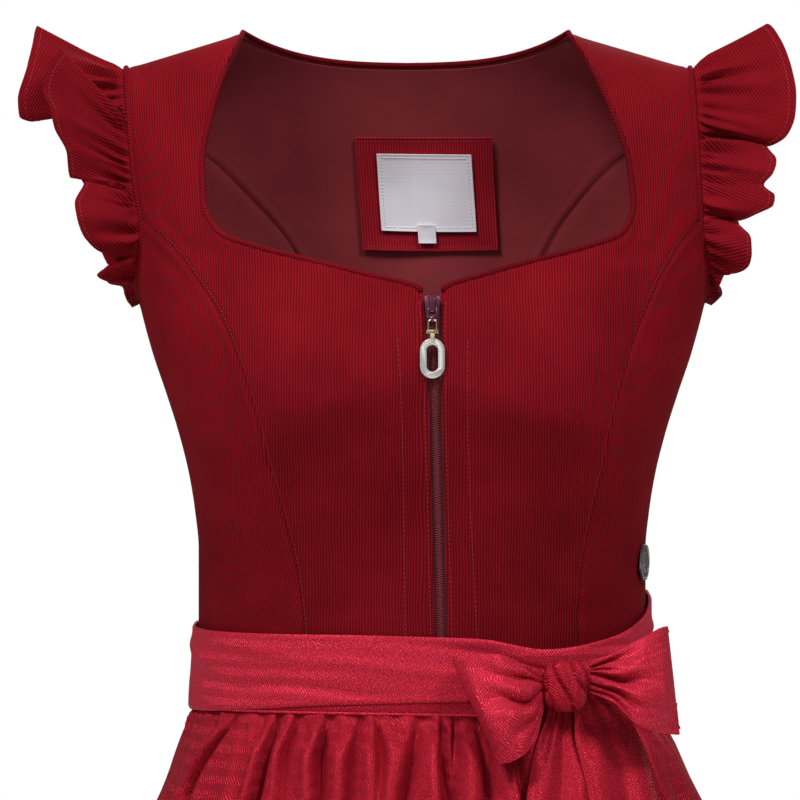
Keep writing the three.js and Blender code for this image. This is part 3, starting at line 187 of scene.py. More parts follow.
def corduroy_material(name, valley, crest, turn=0.0):
    material, tree, shader = new_material(
        name,
        Roughness=0.88,
        Sheen_Weight=0.05,
        Sheen_Roughness=0.4,
        Sheen_Tint=linear("#c8202f"),
        Specular_IOR_Level=0.04,
    )
    cloth = add_node(tree, "UVMap", {"uv_map": "cloth"}).outputs[0]
    turned = add_node(
        tree, "Mapping", Vector=cloth, Rotation=(0, 0, math.radians(turn))
    ).outputs[0]
    drift = add_node(tree, "TexNoise", Vector=turned, Scale=0.03, Detail=2.0).outputs[0]
    split = add_node(tree, "SeparateXYZ", Vector=turned)
    wander = add_node(tree, "Math", {"operation": "MULTIPLY"}, i0=drift, i1=2.4).outputs[0]
    across = add_node(tree, "Math", i0=split.outputs[0], i1=wander).outputs[0]
    phase = add_node(
        tree, "Math", {"operation": "MULTIPLY"}, i0=across, i1=2 * math.pi / WALE
    ).outputs[0]
    wave = add_node(tree, "Math", {"operation": "SINE"}, i0=phase).outputs[0]
    wale = add_node(
        tree, "Math", {"operation": "MULTIPLY_ADD"}, i0=wave, i1=0.5, i2=0.5
    ).outputs[0]
    pile = add_node(tree, "TexNoise", Vector=turned, Scale=1.1, Detail=3.0).outputs[0]
    lay = add_node(
        tree, "TexNoise", Vector=turned, Scale=0.022, Detail=3.0, Roughness=0.6
    ).outputs[0]
    # The valley colour is darker than the crest: painted shade in the grooves between the wales.
    tint = add_node(
        tree, "Mix", {"data_type": "RGBA"}, Factor=wale, A=linear(valley), B=linear(crest)
    ).outputs["Result"]
    light = add_node(
        tree, "MapRange", Value=lay, i1=0.3, i2=0.7, i3=0.82, i4=1.16
    ).outputs[0]
    fleck = add_node(
        tree, "MapRange", Value=pile, i1=0.3, i2=0.7, i3=0.86, i4=1.12
    ).outputs[0]
    # Painted shade: the colour darkens from 205 to 275 mm down the cloth map, below the bust.
    height_on_cloth = add_node(tree, "SeparateXYZ", Vector=cloth).outputs[1]
    painted_underbust_shade = add_node(
        tree, "MapRange", Value=height_on_cloth, i1=205, i2=275, i3=1.0, i4=0.82
    ).outputs[0]
    light = add_node(tree, "Math", {"operation": "MULTIPLY"}, i0=light, i1=painted_underbust_shade).outputs[0]
    value = add_node(tree, "Math", {"operation": "MULTIPLY"}, i0=light, i1=fleck).outputs[0]
    shade = add_node(tree, "HueSaturation", Color=tint, Value=value).outputs[0]
    tree.links.new(shade, shader.inputs["Base Color"])
    height = add_node(
        tree, "Math", {"operation": "MULTIPLY_ADD"}, i0=pile, i1=0.35, i2=wale
    ).outputs[0]
    bump = add_node(tree, "Bump", Height=height, Strength=0.6, Distance=0.00045)
    tree.links.new(bump.outputs[0], shader.inputs["Normal"])
    return material


CORDUROY = corduroy_material("needle_corduroy", "#5c0911", "#840f1b")
# A lighter copy of the same corduroy for the patch inside the back neck: painted light.
CORDUROY_PAINTED_LIGHT = corduroy_material("needle_corduroy_painted_light", "#7d1420", "#ad1f2e")
CORDUROY_BIAS = corduroy_material("needle_corduroy_bias", "#47060d", "#7f0f1a", turn=52)
print("wales to the inch:", round(25.4 / WALE))

# %% [markdown]
# ## Satin jacquard
# The apron and its ties are a polyester satin with a small zigzag woven in. The raised threads lie
# slantwise and turn back every 4 mm, so they catch the light in rows of little chevrons.
# The weave is drawn from the cloth map: a saw across the cloth bends the slanted threads.
# The raised threads are painted lighter, partly the woven pattern and partly painted highlight, and
# a noise breaks them into painted glints.

# %% Satin
THREAD_PITCH, CHEVRON_ROW = 1.5, 4.0


def satin_material(name, ground, thread):
    material, tree, shader = new_material(
        name, Metallic=0.3, Specular_IOR_Level=0.4, Specular_Tint=linear("#f06a7a"), Sheen_Weight=0.03,
        Sheen_Tint=linear("#d83048"), Sheen_Roughness=0.35,
    )
    cloth = add_node(tree, "UVMap", {"uv_map": "cloth"}).outputs[0]
    shift = add_node(tree, "TexNoise", Vector=cloth, Scale=0.25, Detail=3.0)
    bent = add_node(
        tree, "VectorMath", {"operation": "MULTIPLY_ADD"},
        i0=shift.outputs[1], i1=(1.3, 1.3, 0), i2=cloth,
    ).outputs[0]
    split = add_node(tree, "SeparateXYZ", Vector=bent)
    saw = add_node(
        tree, "Math", {"operation": "PINGPONG"}, i0=split.outputs[1], i1=CHEVRON_ROW
    ).outputs[0]
    slant = add_node(
        tree, "Math", {"operation": "MULTIPLY_ADD"}, i0=saw, i1=0.8, i2=split.outputs[0]
    ).outputs[0]
    phase = add_node(
        tree, "Math", {"operation": "MULTIPLY"}, i0=slant, i1=2 * math.pi / THREAD_PITCH
    ).outputs[0]
    wave = add_node(tree, "Math", {"operation": "SINE"}, i0=phase).outputs[0]
    raised = add_node(tree, "MapRange", Value=wave, i1=-0.4, i2=0.9, i3=0.0, i4=1.0).outputs[0]
    # Painted highlight: noise breaks the lighter raised threads into glints, partly woven pattern,
    # partly painted.
    glint = add_node(tree, "TexNoise", Vector=cloth, Scale=0.9, Detail=2.0).outputs[0]
    broken = add_node(tree, "MapRange", Value=glint, i1=0.38, i2=0.62, i3=0.1, i4=1.0).outputs[0]
    shown = add_node(tree, "Math", {"operation": "MULTIPLY"}, i0=raised, i1=broken).outputs[0]
    tint = add_node(
        tree, "Mix", {"data_type": "RGBA"}, Factor=shown, A=linear(ground), B=linear(thread)
    ).outputs["Result"]
    tree.links.new(tint, shader.inputs["Base Color"])
    gloss = add_node(tree, "MapRange", Value=shown, i1=0.0, i2=1.0, i3=0.5, i4=0.36).outputs[0]
    tree.links.new(gloss, shader.inputs["Roughness"])
    bump = add_node(tree, "Bump", Height=raised, Strength=0.8, Distance=0.00035)
    tree.links.new(bump.outputs[0], shader.inputs["Normal"])
    return material


SATIN_CLOTH = satin_material("satin_jacquard", "#ad182e", "#ee4860")
# A darker copy of the same satin for the apron, waistband, knot and tails: painted shade, darker than
# the tie.
SATIN_PAINTED_SHADE = satin_material("satin_jacquard_painted_shade", "#87101f", "#d02c42")
print("threads", THREAD_PITCH, "mm apart, a chevron every", CHEVRON_ROW, "mm")

# %% [markdown]
# ## Lining and woven label
# The lining is a plain woven viscose, smooth and a little shiny. The label is white satin ribbon.
# Both have threads far finer than the picture, so the weave is drawn as coarse as about a millimetre.

# %% Woven materials
BANDS_A_MM = 0.314  # the wave texture's scale that gives one band a millimetre on a map in millimetres


def woven_material(name, dark, light, pitch, roughness, sheen):
    material, tree, shader = new_material(
        name, Roughness=roughness, Sheen_Weight=sheen, Specular_IOR_Level=0.35
    )
    cloth = add_node(tree, "UVMap", {"uv_map": "cloth"}).outputs[0]
    warp, weft = (
        add_node(
            tree, "TexWave", {"bands_direction": way},
            Vector=cloth, Scale=BANDS_A_MM / pitch, Distortion=0.6,
        ).outputs[1]
        for way in "XY"
    )
    weave = add_node(tree, "Math", {"operation": "MULTIPLY"}, i0=warp, i1=weft).outputs[0]
    cloud = add_node(tree, "TexNoise", Vector=cloth, Scale=0.03, Detail=3.0).outputs[0]
    mixed = add_node(tree, "Math", {"operation": "MULTIPLY_ADD"}, i0=weave, i1=0.5, i2=cloud).outputs[0]
    tint = add_node(
        tree, "Mix", {"data_type": "RGBA"}, Factor=mixed, A=linear(dark), B=linear(light)
    ).outputs["Result"]
    tree.links.new(tint, shader.inputs["Base Color"])
    bump = add_node(tree, "Bump", Height=weave, Strength=0.4, Distance=0.00012)
    tree.links.new(bump.outputs[0], shader.inputs["Normal"])
    return material


LINING = woven_material("viscose_lining", "#6c1c24", "#8f2931", 0.9, 0.6, 0.05)
RIBBON = woven_material("white_satin_ribbon", "#d8d4e0", "#f4f2f8", 0.8, 0.5, 0.1)
TAPE = woven_material("zip_tape_weave", "#3c0a12", "#641620", 1.2, 0.8, 0.1)
print("woven:", LINING.name, RIBBON.name, TAPE.name)

# %% [markdown]
# ## Thread, coil and metals
# Sewing thread is twisted polyester, a little lighter than the pile round it. The zip's coil is
# nylon. The pull is cast zinc with a pale gold plating, and the slider is lacquered over zinc.

# %% Small materials
def spotted_material(name, dark, light, scale, **plain):
    material, tree, shader = new_material(name, **plain)
    place = add_node(tree, "TexCoord").outputs["Object"]
    spots = add_node(tree, "TexNoise", Vector=place, Scale=scale, Detail=3.0).outputs[0]
    tint = add_node(
        tree, "Mix", {"data_type": "RGBA"}, Factor=spots, A=linear(dark), B=linear(light)
    ).outputs["Result"]
    tree.links.new(tint, shader.inputs["Base Color"])
    bump = add_node(tree, "Bump", Height=spots, Strength=0.15, Distance=0.0001)
    tree.links.new(bump.outputs[0], shader.inputs["Normal"])
    return material


THREAD = spotted_material("polyester_thread", "#6a101a", "#8c1c28", 2500, Roughness=0.6)
WHITE_THREAD = spotted_material("white_thread", "#cfccd6", "#f0eff4", 2500, Roughness=0.6)
COIL = spotted_material("nylon_coil", "#581420", "#8c303c", 1800, Roughness=0.5, Specular_IOR_Level=0.25)
LACQUER = spotted_material(
    "lacquered_zinc", "#4a1c34", "#693048", 900, Roughness=0.25, Metallic=0.6, Coat_Weight=0.5
)
PALE_GOLD = spotted_material(
    "pale_gold_plating", "#cbb894", "#e2d3b4", 700, Roughness=0.24, Metallic=1.0
)
SILVER_FACE = spotted_material(
    "satin_nickel_face", "#d6d2cc", "#f1efec", 900, Roughness=0.32, Metallic=0.9
)
DARK_SILVER = spotted_material(
    "antique_silver", "#4c4a4b", "#b4b2b3", 1600, Roughness=0.38, Metallic=1.0
)
print("materials so far:", len(bpy.data.materials))

# %% [markdown]
# ## Short tables
# A dress is cut from sizes taken at a few places, and its cloth runs smoothly between them. A table
# holds such sizes in named columns. It is read along a curve that goes through every row and never
# swings past it, so no bulge appears between two rows.

# %% Tables
def table(columns, *rows):
    return dict(zip(columns.split(), np.array(rows, float).T))


def rows_of(source):
    return np.array(list(source.values())).T


def read(source, key, column, at):
    order = np.argsort(source[key])
    x, y = source[key][order], source[column][order]
    slope = np.diff(y) / np.diff(x)
    a, b = slope[:-1], slope[1:]
    safe = np.where(a * b > 0, a + b, 1)
    tangent = np.concatenate([slope[:1], np.where(a * b > 0, 2 * a * b / safe, 0), slope[-1:]])
    at = np.clip(at, x[0], x[-1])
    i = np.clip(np.searchsorted(x, at) - 1, 0, len(x) - 2)
    span = x[i + 1] - x[i]
    t = (at - x[i]) / span
    return (
        (2 * t**3 - 3 * t**2 + 1) * y[i]
        + (t**3 - 2 * t**2 + t) * tangent[i] * span
        + (3 * t**2 - 2 * t**3) * y[i + 1]
        + (t**3 - t**2) * tangent[i + 1] * span
    )

# %% [markdown]
# ## The body form
# The bodice is cut to one smooth form. Its sizes are in two short tables, half widths by height and
# depths by the drop below the shoulder seam, in millimetres. A point on it is found from the angle
# round the body, with 0 at the centre front and +90 at the wearer's left side, and the height.

# %% Sizes and points of the form
WIDTHS = table(
    "z side",
    (-972, 125), (-372, 125), (-330, 122.7), (-285, 122.7), (-265, 124.6), (-245, 127.8),
    (-222, 133.5), (-200, 140.5), (-178, 148), (-150, 155.5), (-130, 159.5), (-100, 163),
    (-60, 165), (10, 166),
)
DEPTHS = table(
    "drop front back",
    (0, 0, 0), (4, 16, 17), (10, 29, 30), (20, 42, 43), (40, 58, 58), (70, 74, 73),
    (110, 92, 88), (150, 108, 97), (190, 120, 102), (215, 122, 103), (250, 112, 100),
    (300, 99, 94), (350, 93.5, 91), (400, 93, 91), (1000, 93, 91),
)
WAIST_Z, SHOULDER_Y, NECK_HALF, TIP_HALF = -372, 12, 89, 156
SIDE_SEAM, UNDERARM_Z = 95, -152
TOP_LEAN, LEAN_FROM_Z = -9, -130


def powered(value, power):
    return np.sign(value) * np.abs(value) ** power


def roundness(z):
    return 2.6 - 0.3 * np.clip((-150 - z) / 222, 0, 1)


def lean_at(z):
    return TOP_LEAN * np.clip((z - LEAN_FROM_Z) / -LEAN_FROM_Z, 0, 1)


def shoulder_line(x):
    return 0.3 * (NECK_HALF - np.abs(x))


def body_point(phi, z):
    phi, z = np.broadcast_arrays(np.asarray(phi, float), np.asarray(z, float))
    power, angle = 2 / roundness(z), np.radians(phi)
    x = read(WIDTHS, "z", "side", z) * powered(np.sin(angle), power)
    facing = np.cos(angle)
    drop = np.maximum(0, shoulder_line(x) - z)
    front, back = (read(DEPTHS, "drop", face, drop) for face in ("front", "back"))
    middle = SHOULDER_Y * np.clip(1 - z / WAIST_Z, 0, 1)
    y = middle - np.where(facing >= 0, front, back) * powered(facing, power)
    bust = 6 * np.exp(-(((np.abs(x) - 70) / 38) ** 2) - ((z + 188) / 45) ** 2)
    y = y - np.where(facing > 0, bust * facing, 0)
    return np.stack([x + lean_at(z), y, z], -1)


print(f"half width at the waist: {read(WIDTHS, 'z', 'side', WAIST_Z):.0f} mm")

# %% [markdown]
# ## Which way is out
# A seam sinks and a crease rises along the direction that points away from the body. It is found
# from two short steps over the form, one round it and one up it. Seams are measured across in
# millimetres, so the angle that belongs to such a place is worked out too.

# %% Outward directions
def unit(vectors):
    return vectors / np.maximum(np.linalg.norm(vectors, axis=-1, keepdims=True), 1e-9)


def body_normal(phi, z):
    x = body_point(phi, z)[..., 0] - lean_at(z)
    drop = shoulder_line(x) - z
    at = np.where(drop < 3, z - 3 + drop, z)
    across = body_point(phi + 0.6, at) - body_point(phi - 0.6, at)
    up = body_point(phi, at + 1.5) - body_point(phi, at - 1.5)
    normal = unit(np.cross(across, up))
    normal[..., 1] *= np.clip(drop / 8, 0, 1)
    return unit(normal)


def phi_of(x, z, back=False):
    share = np.minimum(1, np.abs(x) / read(WIDTHS, "z", "side", z))
    angle = np.degrees(np.arcsin(share ** (roundness(z) / 2)))
    return 180 - np.sign(x) * angle if back else np.sign(x) * angle


def zip_x(z):
    return 4.7 + 6.3 * np.clip((z + 147) / -225, 0, 1)


# %% [markdown]
# ## How far round the cloth is
# Wales lie on the cloth, so the pattern needs millimetres along the surface, not angles.
# The form is walked once at every few millimetres of height, and the distance round is kept.

# %% Girth
PHI_STEP, Z_STEP = 2.0, 4.0
GIRTH_PHI, GIRTH_Z = np.arange(-180.0, 361.0, PHI_STEP), np.arange(-376.0, 28.0, Z_STEP)
walk = body_point(GIRTH_PHI[None], GIRTH_Z[:, None])
steps = np.linalg.norm(np.diff(walk, axis=1), axis=-1)
GIRTH = np.concatenate([np.zeros((len(GIRTH_Z), 1)), np.cumsum(steps, 1)], 1)
GIRTH -= GIRTH[:, [int(180 / PHI_STEP)]]


def girth(phi, z):
    i = np.clip((z - GIRTH_Z[0]) / Z_STEP, 0, len(GIRTH_Z) - 1.001)
    j = np.clip((phi - GIRTH_PHI[0]) / PHI_STEP, 0, len(GIRTH_PHI) - 1.001)
    a, b = i.astype(int), j.astype(int)
    u, v = i - a, j - b
    low = GIRTH[a, b] * (1 - v) + GIRTH[a, b + 1] * v
    high = GIRTH[a + 1, b] * (1 - v) + GIRTH[a + 1, b + 1] * v
    return low * (1 - u) + high * u


BUST_Z = -190
for part, at_z in (("bust", BUST_Z), ("waist", WAIST_Z)):
    print(f"{part}: {girth(np.array([180.0]), np.array([float(at_z)]))[0] * 2:.0f} mm round")

# %% [markdown]
# ## A sheet of cloth
# A sheet starts as a grid of points with its place on the flat cloth, in millimetres.
# Neighbouring points make a square face, and the place on the cloth becomes the pattern's map.

# %% Mesh from a grid
def spaced(grid, axis):
    """Distances from the first point along one way of a grid, or along a path with axis 0."""
    gaps = np.linalg.norm(np.diff(grid, axis=axis), axis=-1)
    start = np.zeros_like(gaps[:1] if axis == 0 else gaps[:, :1])
    return np.concatenate([start, np.cumsum(gaps, axis)], axis)


def mesh_piece(name, points, faces, materials, uv=None):
    mesh = bpy.data.meshes.new(name)
    mesh.from_pydata((points * MM).tolist(), [], faces)
    for material in materials:
        mesh.materials.append(material)
    if uv is not None:
        layer = mesh.uv_layers.new(name="cloth")
        corners = np.zeros(len(mesh.loops), int)
        mesh.loops.foreach_get("vertex_index", corners)
        layer.data.foreach_set("uv", np.asarray(uv, np.float32)[corners].ravel())
    mesh.polygons.foreach_set("use_smooth", [True] * len(mesh.polygons))
    mesh.update()
    piece = bpy.data.objects.new(name, mesh)
    bpy.context.scene.collection.objects.link(piece)
    return piece


def grid_faces(rows, cols, wrap=False):
    i, j = np.meshgrid(np.arange(rows - 1), np.arange(cols if wrap else cols - 1), indexing="ij")
    a, b = i * cols + j, i * cols + (j + 1) % cols
    return np.stack([a, a + cols, b + cols, b], -1).reshape(-1, 4)

# %% [markdown]
# ## Thickness
# Solidify gives the sheet its real thickness and a second face, which may be lining. An operator
# acts on all that is selected, so one piece is picked first.

# %% Sheets with two faces
def pick(piece):
    """The operators that follow act on this piece alone."""
    bpy.ops.object.select_all(action="DESELECT")
    piece.select_set(True)
    bpy.context.view_layer.objects.active = piece


def with_modifier(piece, kind, **settings):
    pick(piece)
    modifier = piece.modifiers.new(kind.lower(), kind)
    for key, value in settings.items():
        setattr(modifier, key, value)
    bpy.ops.object.modifier_apply(modifier=modifier.name)


FORM_MIDDLE = np.array([-4, 4, 0])


def cloth(name, grid, uv, thick, outer, inner=None, away=None):
    """A sheet of real thickness, whose faces look away from the form's middle, or the way of away."""
    rows, cols = grid.shape[:2]
    faces = grid_faces(rows, cols)
    flat = grid.reshape(-1, 3)
    a, b, c = (flat[faces[:, k]] for k in range(3))
    normal = np.cross(b - a, c - a)
    outward = (a - FORM_MIDDLE) * (1, 1, 0) if away is None else np.array(away, float)
    if (normal * outward).sum() < 0:
        faces = faces[:, ::-1]
    piece = mesh_piece(name, flat, faces.tolist(), [outer, inner or outer], uv.reshape(-1, 2))
    with_modifier(
        piece, "SOLIDIFY", thickness=thick * MM, offset=-1, material_offset=1, use_quality_normals=True
    )
    bpy.ops.object.shade_smooth_by_angle(angle=math.radians(50))
    return piece

# %% [markdown]
# ## Handing a piece over
# Each finished piece is hung under an empty for its body, and the solid it stands for is hidden.
# A piece made without a grid prints how many faces it has. A sheet also says how
# large its cloth is when it lies flat, how it is held, and what it rests on, as a cutter would ask.


def hand_over(piece, node, grid=None, body="root"):
    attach(piece, body)
    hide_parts(node)
    if grid is not None:
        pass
    else:
        print(f"{piece.name}: {len(piece.data.polygons)} faces")


def add_trim(piece):
    """A small piece that the solids leave out."""
    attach(piece, "root")


# %% [markdown]
# ## Panels
# A panel's plan is a patch between four borders, each a list of angles and heights. Neighbours read
# the same tables, so their seams meet. The tables are the cutting pattern of the dress.

# %% Plans of the panels
def patch(left, right, top, bottom):
    t = np.linspace(0, 1, len(left))[:, None, None]
    u = np.linspace(0, 1, len(top))[None, :, None]
    ruled = left[:, None] * (1 - u) + right[:, None] * u + top[None] * (1 - t) + bottom[None] * t
    corners = (left[0] * (1 - u) + right[0] * u) * (1 - t) + (left[-1] * (1 - u) + right[-1] * u) * t
    return ruled - corners


def between(a, b, count):
    return a + (b - a) * np.linspace(0, 1, count)[:, None]


FRONT_INNER = table(
    "row x z zip",
    (0, 90, -0.3, 0), (1, 101, -26, 0), (2, 109, -50, 0), (3, 115, -76, 0), (4, 115.5, -97, 0),
    (5, 108, -114, 0), (6, 86, -123, 0), (7, 60, -130, 0), (8, 34, -137, 0.3),
    (9, 5.3, -147, 1), (10, 4.2, -164, 1), (11, 3.5, -188, 1), (12, 3.3, -216, 1),
    (13, 3.3, -250, 1), (14, 3.3, -290, 1), (15, 3.3, -331, 1), (16, 3.3, -372, 1),
)
FRONT_OUTER = table(
    "row x z zip",
    (0, 156, -20.1, 0), (1, 155, -47, 0), (2, 154, -76, 0), (3, 152, -103, 0.2),
    (4, 137, -120, 0.4), (5, 125, -137, 0.6), (6, 114, -156, 1), (7, 105, -177, 1),
    (8, 98, -198, 1), (9, 92.5, -219, 1), (10, 88, -240, 1), (11, 82.5, -261, 1),
    (12, 78, -281, 1), (13, 74.5, -302, 1), (14, 73, -325, 1), (15, 72.5, -348, 1),
    (16, 72, -372, 1),
)
BACK_OUTER = table(
    "row x z",
    (0, 156, -20.1), (1, 154, -34), (2, 152, -50), (3, 121, -64), (4, 97, -86), (5, 76, -112),
    (6, 62, -142), (7, 54, -175), (8, 49.5, -210), (9, 47, -250), (10, 46, -290),
    (11, 45.5, -331), (12, 45, -372),
)
FRONT_ROWS, BACK_ROWS = 16, 12  # the last row of each table, at the waist
PRINCESS_ROW, BACK_PRINCESS_ROW, ARM_STEPS, NECK_ROW = 3, 2, 8, 9
print("table rows:", len(FRONT_INNER["row"]), len(FRONT_OUTER["row"]), len(BACK_OUTER["row"]))

# %% [markdown]
# ## Seam lines
# A row of a table gives one place on a seam for both sides of the body. Near the zip the fronts
# follow its slanting line. The armhole joins a front or back edge to the underarm in one curve.

# %% Seam lines
def front_edge(edge, row, side):
    z = read(edge, "row", "z", row)
    x = side * read(edge, "row", "x", row) + read(edge, "row", "zip", row) * zip_x(z)
    return np.stack([phi_of(x, z), z], -1)


def back_edge(row, side):
    z = read(BACK_OUTER, "row", "z", row)
    return np.stack([phi_of(side * read(BACK_OUTER, "row", "x", row), z, back=True), z], -1)


def arm_point(step, face, side):
    step = np.asarray(step, float)
    seam_row = PRINCESS_ROW if face == "front" else BACK_PRINCESS_ROW
    upper = np.minimum(step, seam_row)
    edge = front_edge(FRONT_OUTER, upper, side) if face == "front" else back_edge(upper, side)
    end_phi = side * SIDE_SEAM if face == "front" or side > 0 else 360 - SIDE_SEAM
    t = np.clip((step - seam_row) / (ARM_STEPS - seam_row), 0, 1)
    phi, z = edge[..., 0], edge[..., 1]
    return np.stack([phi + (end_phi - phi) * t**1.6, z + (UNDERARM_Z - z) * t**0.72], -1)


def shoulder_seam(side, back, count):
    x = np.linspace(TIP_HALF, NECK_HALF + 1, count)
    z = shoulder_line(x)
    return np.stack([phi_of(side * x, z, back), z], -1)


# %% [markdown]
# ## Creases
# A worn bodice is smooth where it is full, and soft troughs gather where it bends: under the arms,
# beside the neck corners and above the tie. Each crease is a row with its place on the cloth
# (girth from the centre front or back, and height), its length, turn, width and depth.

# %% Creases of the bodice
FRONT_CREASES = table(
    "s z length turn width depth",
    (-150, -128, 46, -38, 5, -0.9), (-158, -146, 40, -24, 4.5, -0.8), (-139, -114, 34, -52, 4, -0.6),
    (154, -130, 44, 40, 5, -0.9), (149, -148, 38, 22, 4.5, -0.8), (136, -116, 30, 55, 4, -0.6),
    (120, -126, 30, 8, 3.5, -0.7), (112, -134, 26, -4, 3.5, 0.5), (-122, -124, 28, -10, 3.5, -0.6),
    (-40, -314, 50, 4, 5, -0.7), (-86, -322, 46, -6, 5, -0.8), (-120, -306, 40, -12, 5, -0.8),
    (46, -308, 44, -5, 5, -0.7), (90, -316, 50, 8, 5, -0.8), (126, -300, 36, 14, 5, -0.8),
    (-30, -252, 60, 2, 7, -0.35), (36, -246, 56, -3, 7, -0.35), (20, -158, 18, 60, 2.5, 0.5),
    (-16, -160, 18, -62, 2.5, 0.5), (-140, -250, 50, -20, 7, -0.6), (142, -244, 46, 22, 7, -0.6),
    (-60, -150, 50, 72, 6, 0.4), (70, -152, 44, -70, 6, 0.4), (-26, -330, 30, 0, 4, 0.5),
)
BACK_CREASES = table(
    "s z length turn width depth",
    (-60, -318, 60, 5, 5.5, -0.9), (34, -306, 66, -4, 5.5, -0.9), (80, -322, 50, -9, 5, -0.8),
    (-20, -288, 56, 3, 6, -0.6), (54, -276, 44, -8, 6, -0.6), (-96, -296, 46, 10, 5.5, -0.8),
    (110, -294, 40, -12, 5.5, -0.8), (-120, -120, 46, 44, 5, -0.8), (122, -122, 42, -42, 5, -0.8),
    (-104, -146, 40, 30, 5, -0.7), (108, -150, 38, -28, 5, -0.7), (4, -60, 70, 2, 8, -0.5),
    (-30, -42, 44, 8, 6, 0.4), (28, -46, 44, -7, 6, 0.4),
)
print("creases:", len(FRONT_CREASES["s"]), "in front,", len(BACK_CREASES["s"]), "behind")

# %% [markdown]
# ## The form of a crease
# A crease is a trough with rounded ends, a little bent, that fades out across its width.
# The heights of all creases are added up.

# %% Crease heights
def creased(creases, s, z):
    rise = np.zeros_like(s)
    for s0, z0, length, turn, width, depth in rows_of(creases):
        c, d = math.cos(math.radians(turn)), math.sin(math.radians(turn))
        along = (s - s0) * c + (z - z0) * d
        across = -(s - s0) * d + (z - z0) * c + 0.0016 * along**2
        rise += depth * np.exp(-((across / width) ** 2)) * np.exp(-((along / (length / 2)) ** 4))
    return rise


# %% [markdown]
# ## Seams
# At a seam both cloths turn in, so a fine groove shows with a low swelling over the seam allowance.
# Along a piped edge the cloth puckers a little, because the piping is stitched in under tension.

# %% Panels of the bodice
PANEL_THICK, LINING_THICK = 1.5, 0.5
panels = {}


def bodice_panel(node, plan, creases, origin, turn, seams, piped):
    """seams and piped hold edge names with the shares of rows or columns where they apply."""
    phi, z = plan[..., 0], plan[..., 1]
    surface, normal = body_point(phi, z), body_normal(phi, z)
    across, down = spaced(surface, 1), spaced(surface, 0)
    far = {"left": across, "right": across[:, -1:] - across, "top": down}
    by_row, by_column = np.linspace(0, 1, len(plan))[:, None], np.linspace(0, 1, plan.shape[1])[None]
    share = {"left": by_row, "right": by_row, "top": by_column}
    s = girth(phi, z)
    place = s if creases is FRONT_CREASES else s - girth(np.full_like(phi, 180.0), z)
    rise = creased(creases, place, z)
    for edge, start, end in seams:
        on = (share[edge] >= start) & (share[edge] <= end)
        d = far[edge]
        shape = -1.1 * np.exp(-((d / 0.9) ** 2)) + 0.3 * np.exp(-(((d - 4) / 2.4) ** 2))
        rise += np.where(on, shape, 0)
    for edge, start, end in piped:
        on = (share[edge] >= start) & (share[edge] <= end)
        d = far[edge]
        run = down if edge in ("left", "right") else across
        pucker = 0.22 * np.sin(run / 1.35 + 1.7 * np.sin(run / 9)) * np.exp(-d / 4.5)
        rise += np.where(on, pucker + 0.35 * np.exp(-(((d - 4) / 2.6) ** 2)), 0)
    grid = surface + normal * rise[..., None]
    u, v = s - girth(np.full_like(phi, float(origin)), z), -z
    c, d = math.cos(math.radians(turn)), math.sin(math.radians(turn))
    uv = np.stack([u * c + v * d, v * c - u * d], -1)
    piece = cloth(node + "_cloth", grid, uv, PANEL_THICK, CORDUROY, LINING)
    hand_over(piece, node, grid)
    panels[node] = {"grid": grid, "normal": normal, "far": far}

# %% [markdown]
# ## Front of the bodice
# Each side has a centre front with its strap and a side front. They meet at the princess seam,
# which runs from the armhole over the bust to the waist and gives the bodice its form.

# %% Front panels
FINE, FRONT_COLUMNS = 9, 45  # grid steps to each row of the tables, and columns across a panel
for side, word in ((1, "left"), (-1, "right")):
    rows = np.linspace(0, FRONT_ROWS, FRONT_ROWS * FINE + 1)
    outer, inner = front_edge(FRONT_OUTER, rows, side), front_edge(FRONT_INNER, rows, side)
    top = shoulder_seam(side, False, FRONT_COLUMNS)
    waist = between(outer[-1], inner[-1], FRONT_COLUMNS)
    bodice_panel(
        f"bodice_front_{word}", patch(outer, inner, top, waist), FRONT_CREASES, 0, 0,
        [("left", PRINCESS_ROW / FRONT_ROWS, 1), ("right", NECK_ROW / FRONT_ROWS, 1), ("top", 0, 1)],
        [("left", 0, PRINCESS_ROW / FRONT_ROWS), ("right", 0, NECK_ROW / FRONT_ROWS)],
    )
    princess = outer[PRINCESS_ROW * FINE :]
    underarm, waist_end = np.array([[side * SIDE_SEAM, UNDERARM_Z], [side * SIDE_SEAM, WAIST_Z]])
    seam = between(underarm, waist_end, len(princess))
    arm = arm_point(np.linspace(PRINCESS_ROW, ARM_STEPS, FRONT_COLUMNS), "front", side)
    low = between(princess[-1], seam[-1], FRONT_COLUMNS)
    bodice_panel(
        f"bodice_side_front_{word}", patch(princess, seam, arm, low), FRONT_CREASES,
        side * 60, side * -17, [("left", 0, 1), ("right", 0, 1)], [("top", 0, 1)],
    )

# %% [markdown]
# ## Back of the bodice
# The centre back is one piece from shoulder to shoulder, with a side back at each side.
# Its neck edge is a shallow scoop, and the columns of the grid start from that edge.

# %% Back panels
BACK_FINE, STRAP_COLUMNS, NECK_COLUMNS, SIDE_COLUMNS = 8, 19, 47, 57
NECK_DROP = 14
half = NECK_HALF + 1
neck_x = np.linspace(half, -half, NECK_COLUMNS + 2)[1:-1]
neck_z = shoulder_line(half) - NECK_DROP * (1 - np.abs(neck_x / half) ** 3)
back_neck = np.stack([phi_of(neck_x, neck_z, back=True), neck_z], -1)
straps = [shoulder_seam(side, True, STRAP_COLUMNS) for side in (1, -1)]
back_top = np.concatenate([straps[0], back_neck, straps[1][::-1]])
rows = np.linspace(0, BACK_ROWS, BACK_ROWS * BACK_FINE + 1)
edges = {side: back_edge(rows, side) for side in (1, -1)}
back_plan = patch(edges[1], edges[-1], back_top, between(edges[1][-1], edges[-1][-1], len(back_top)))
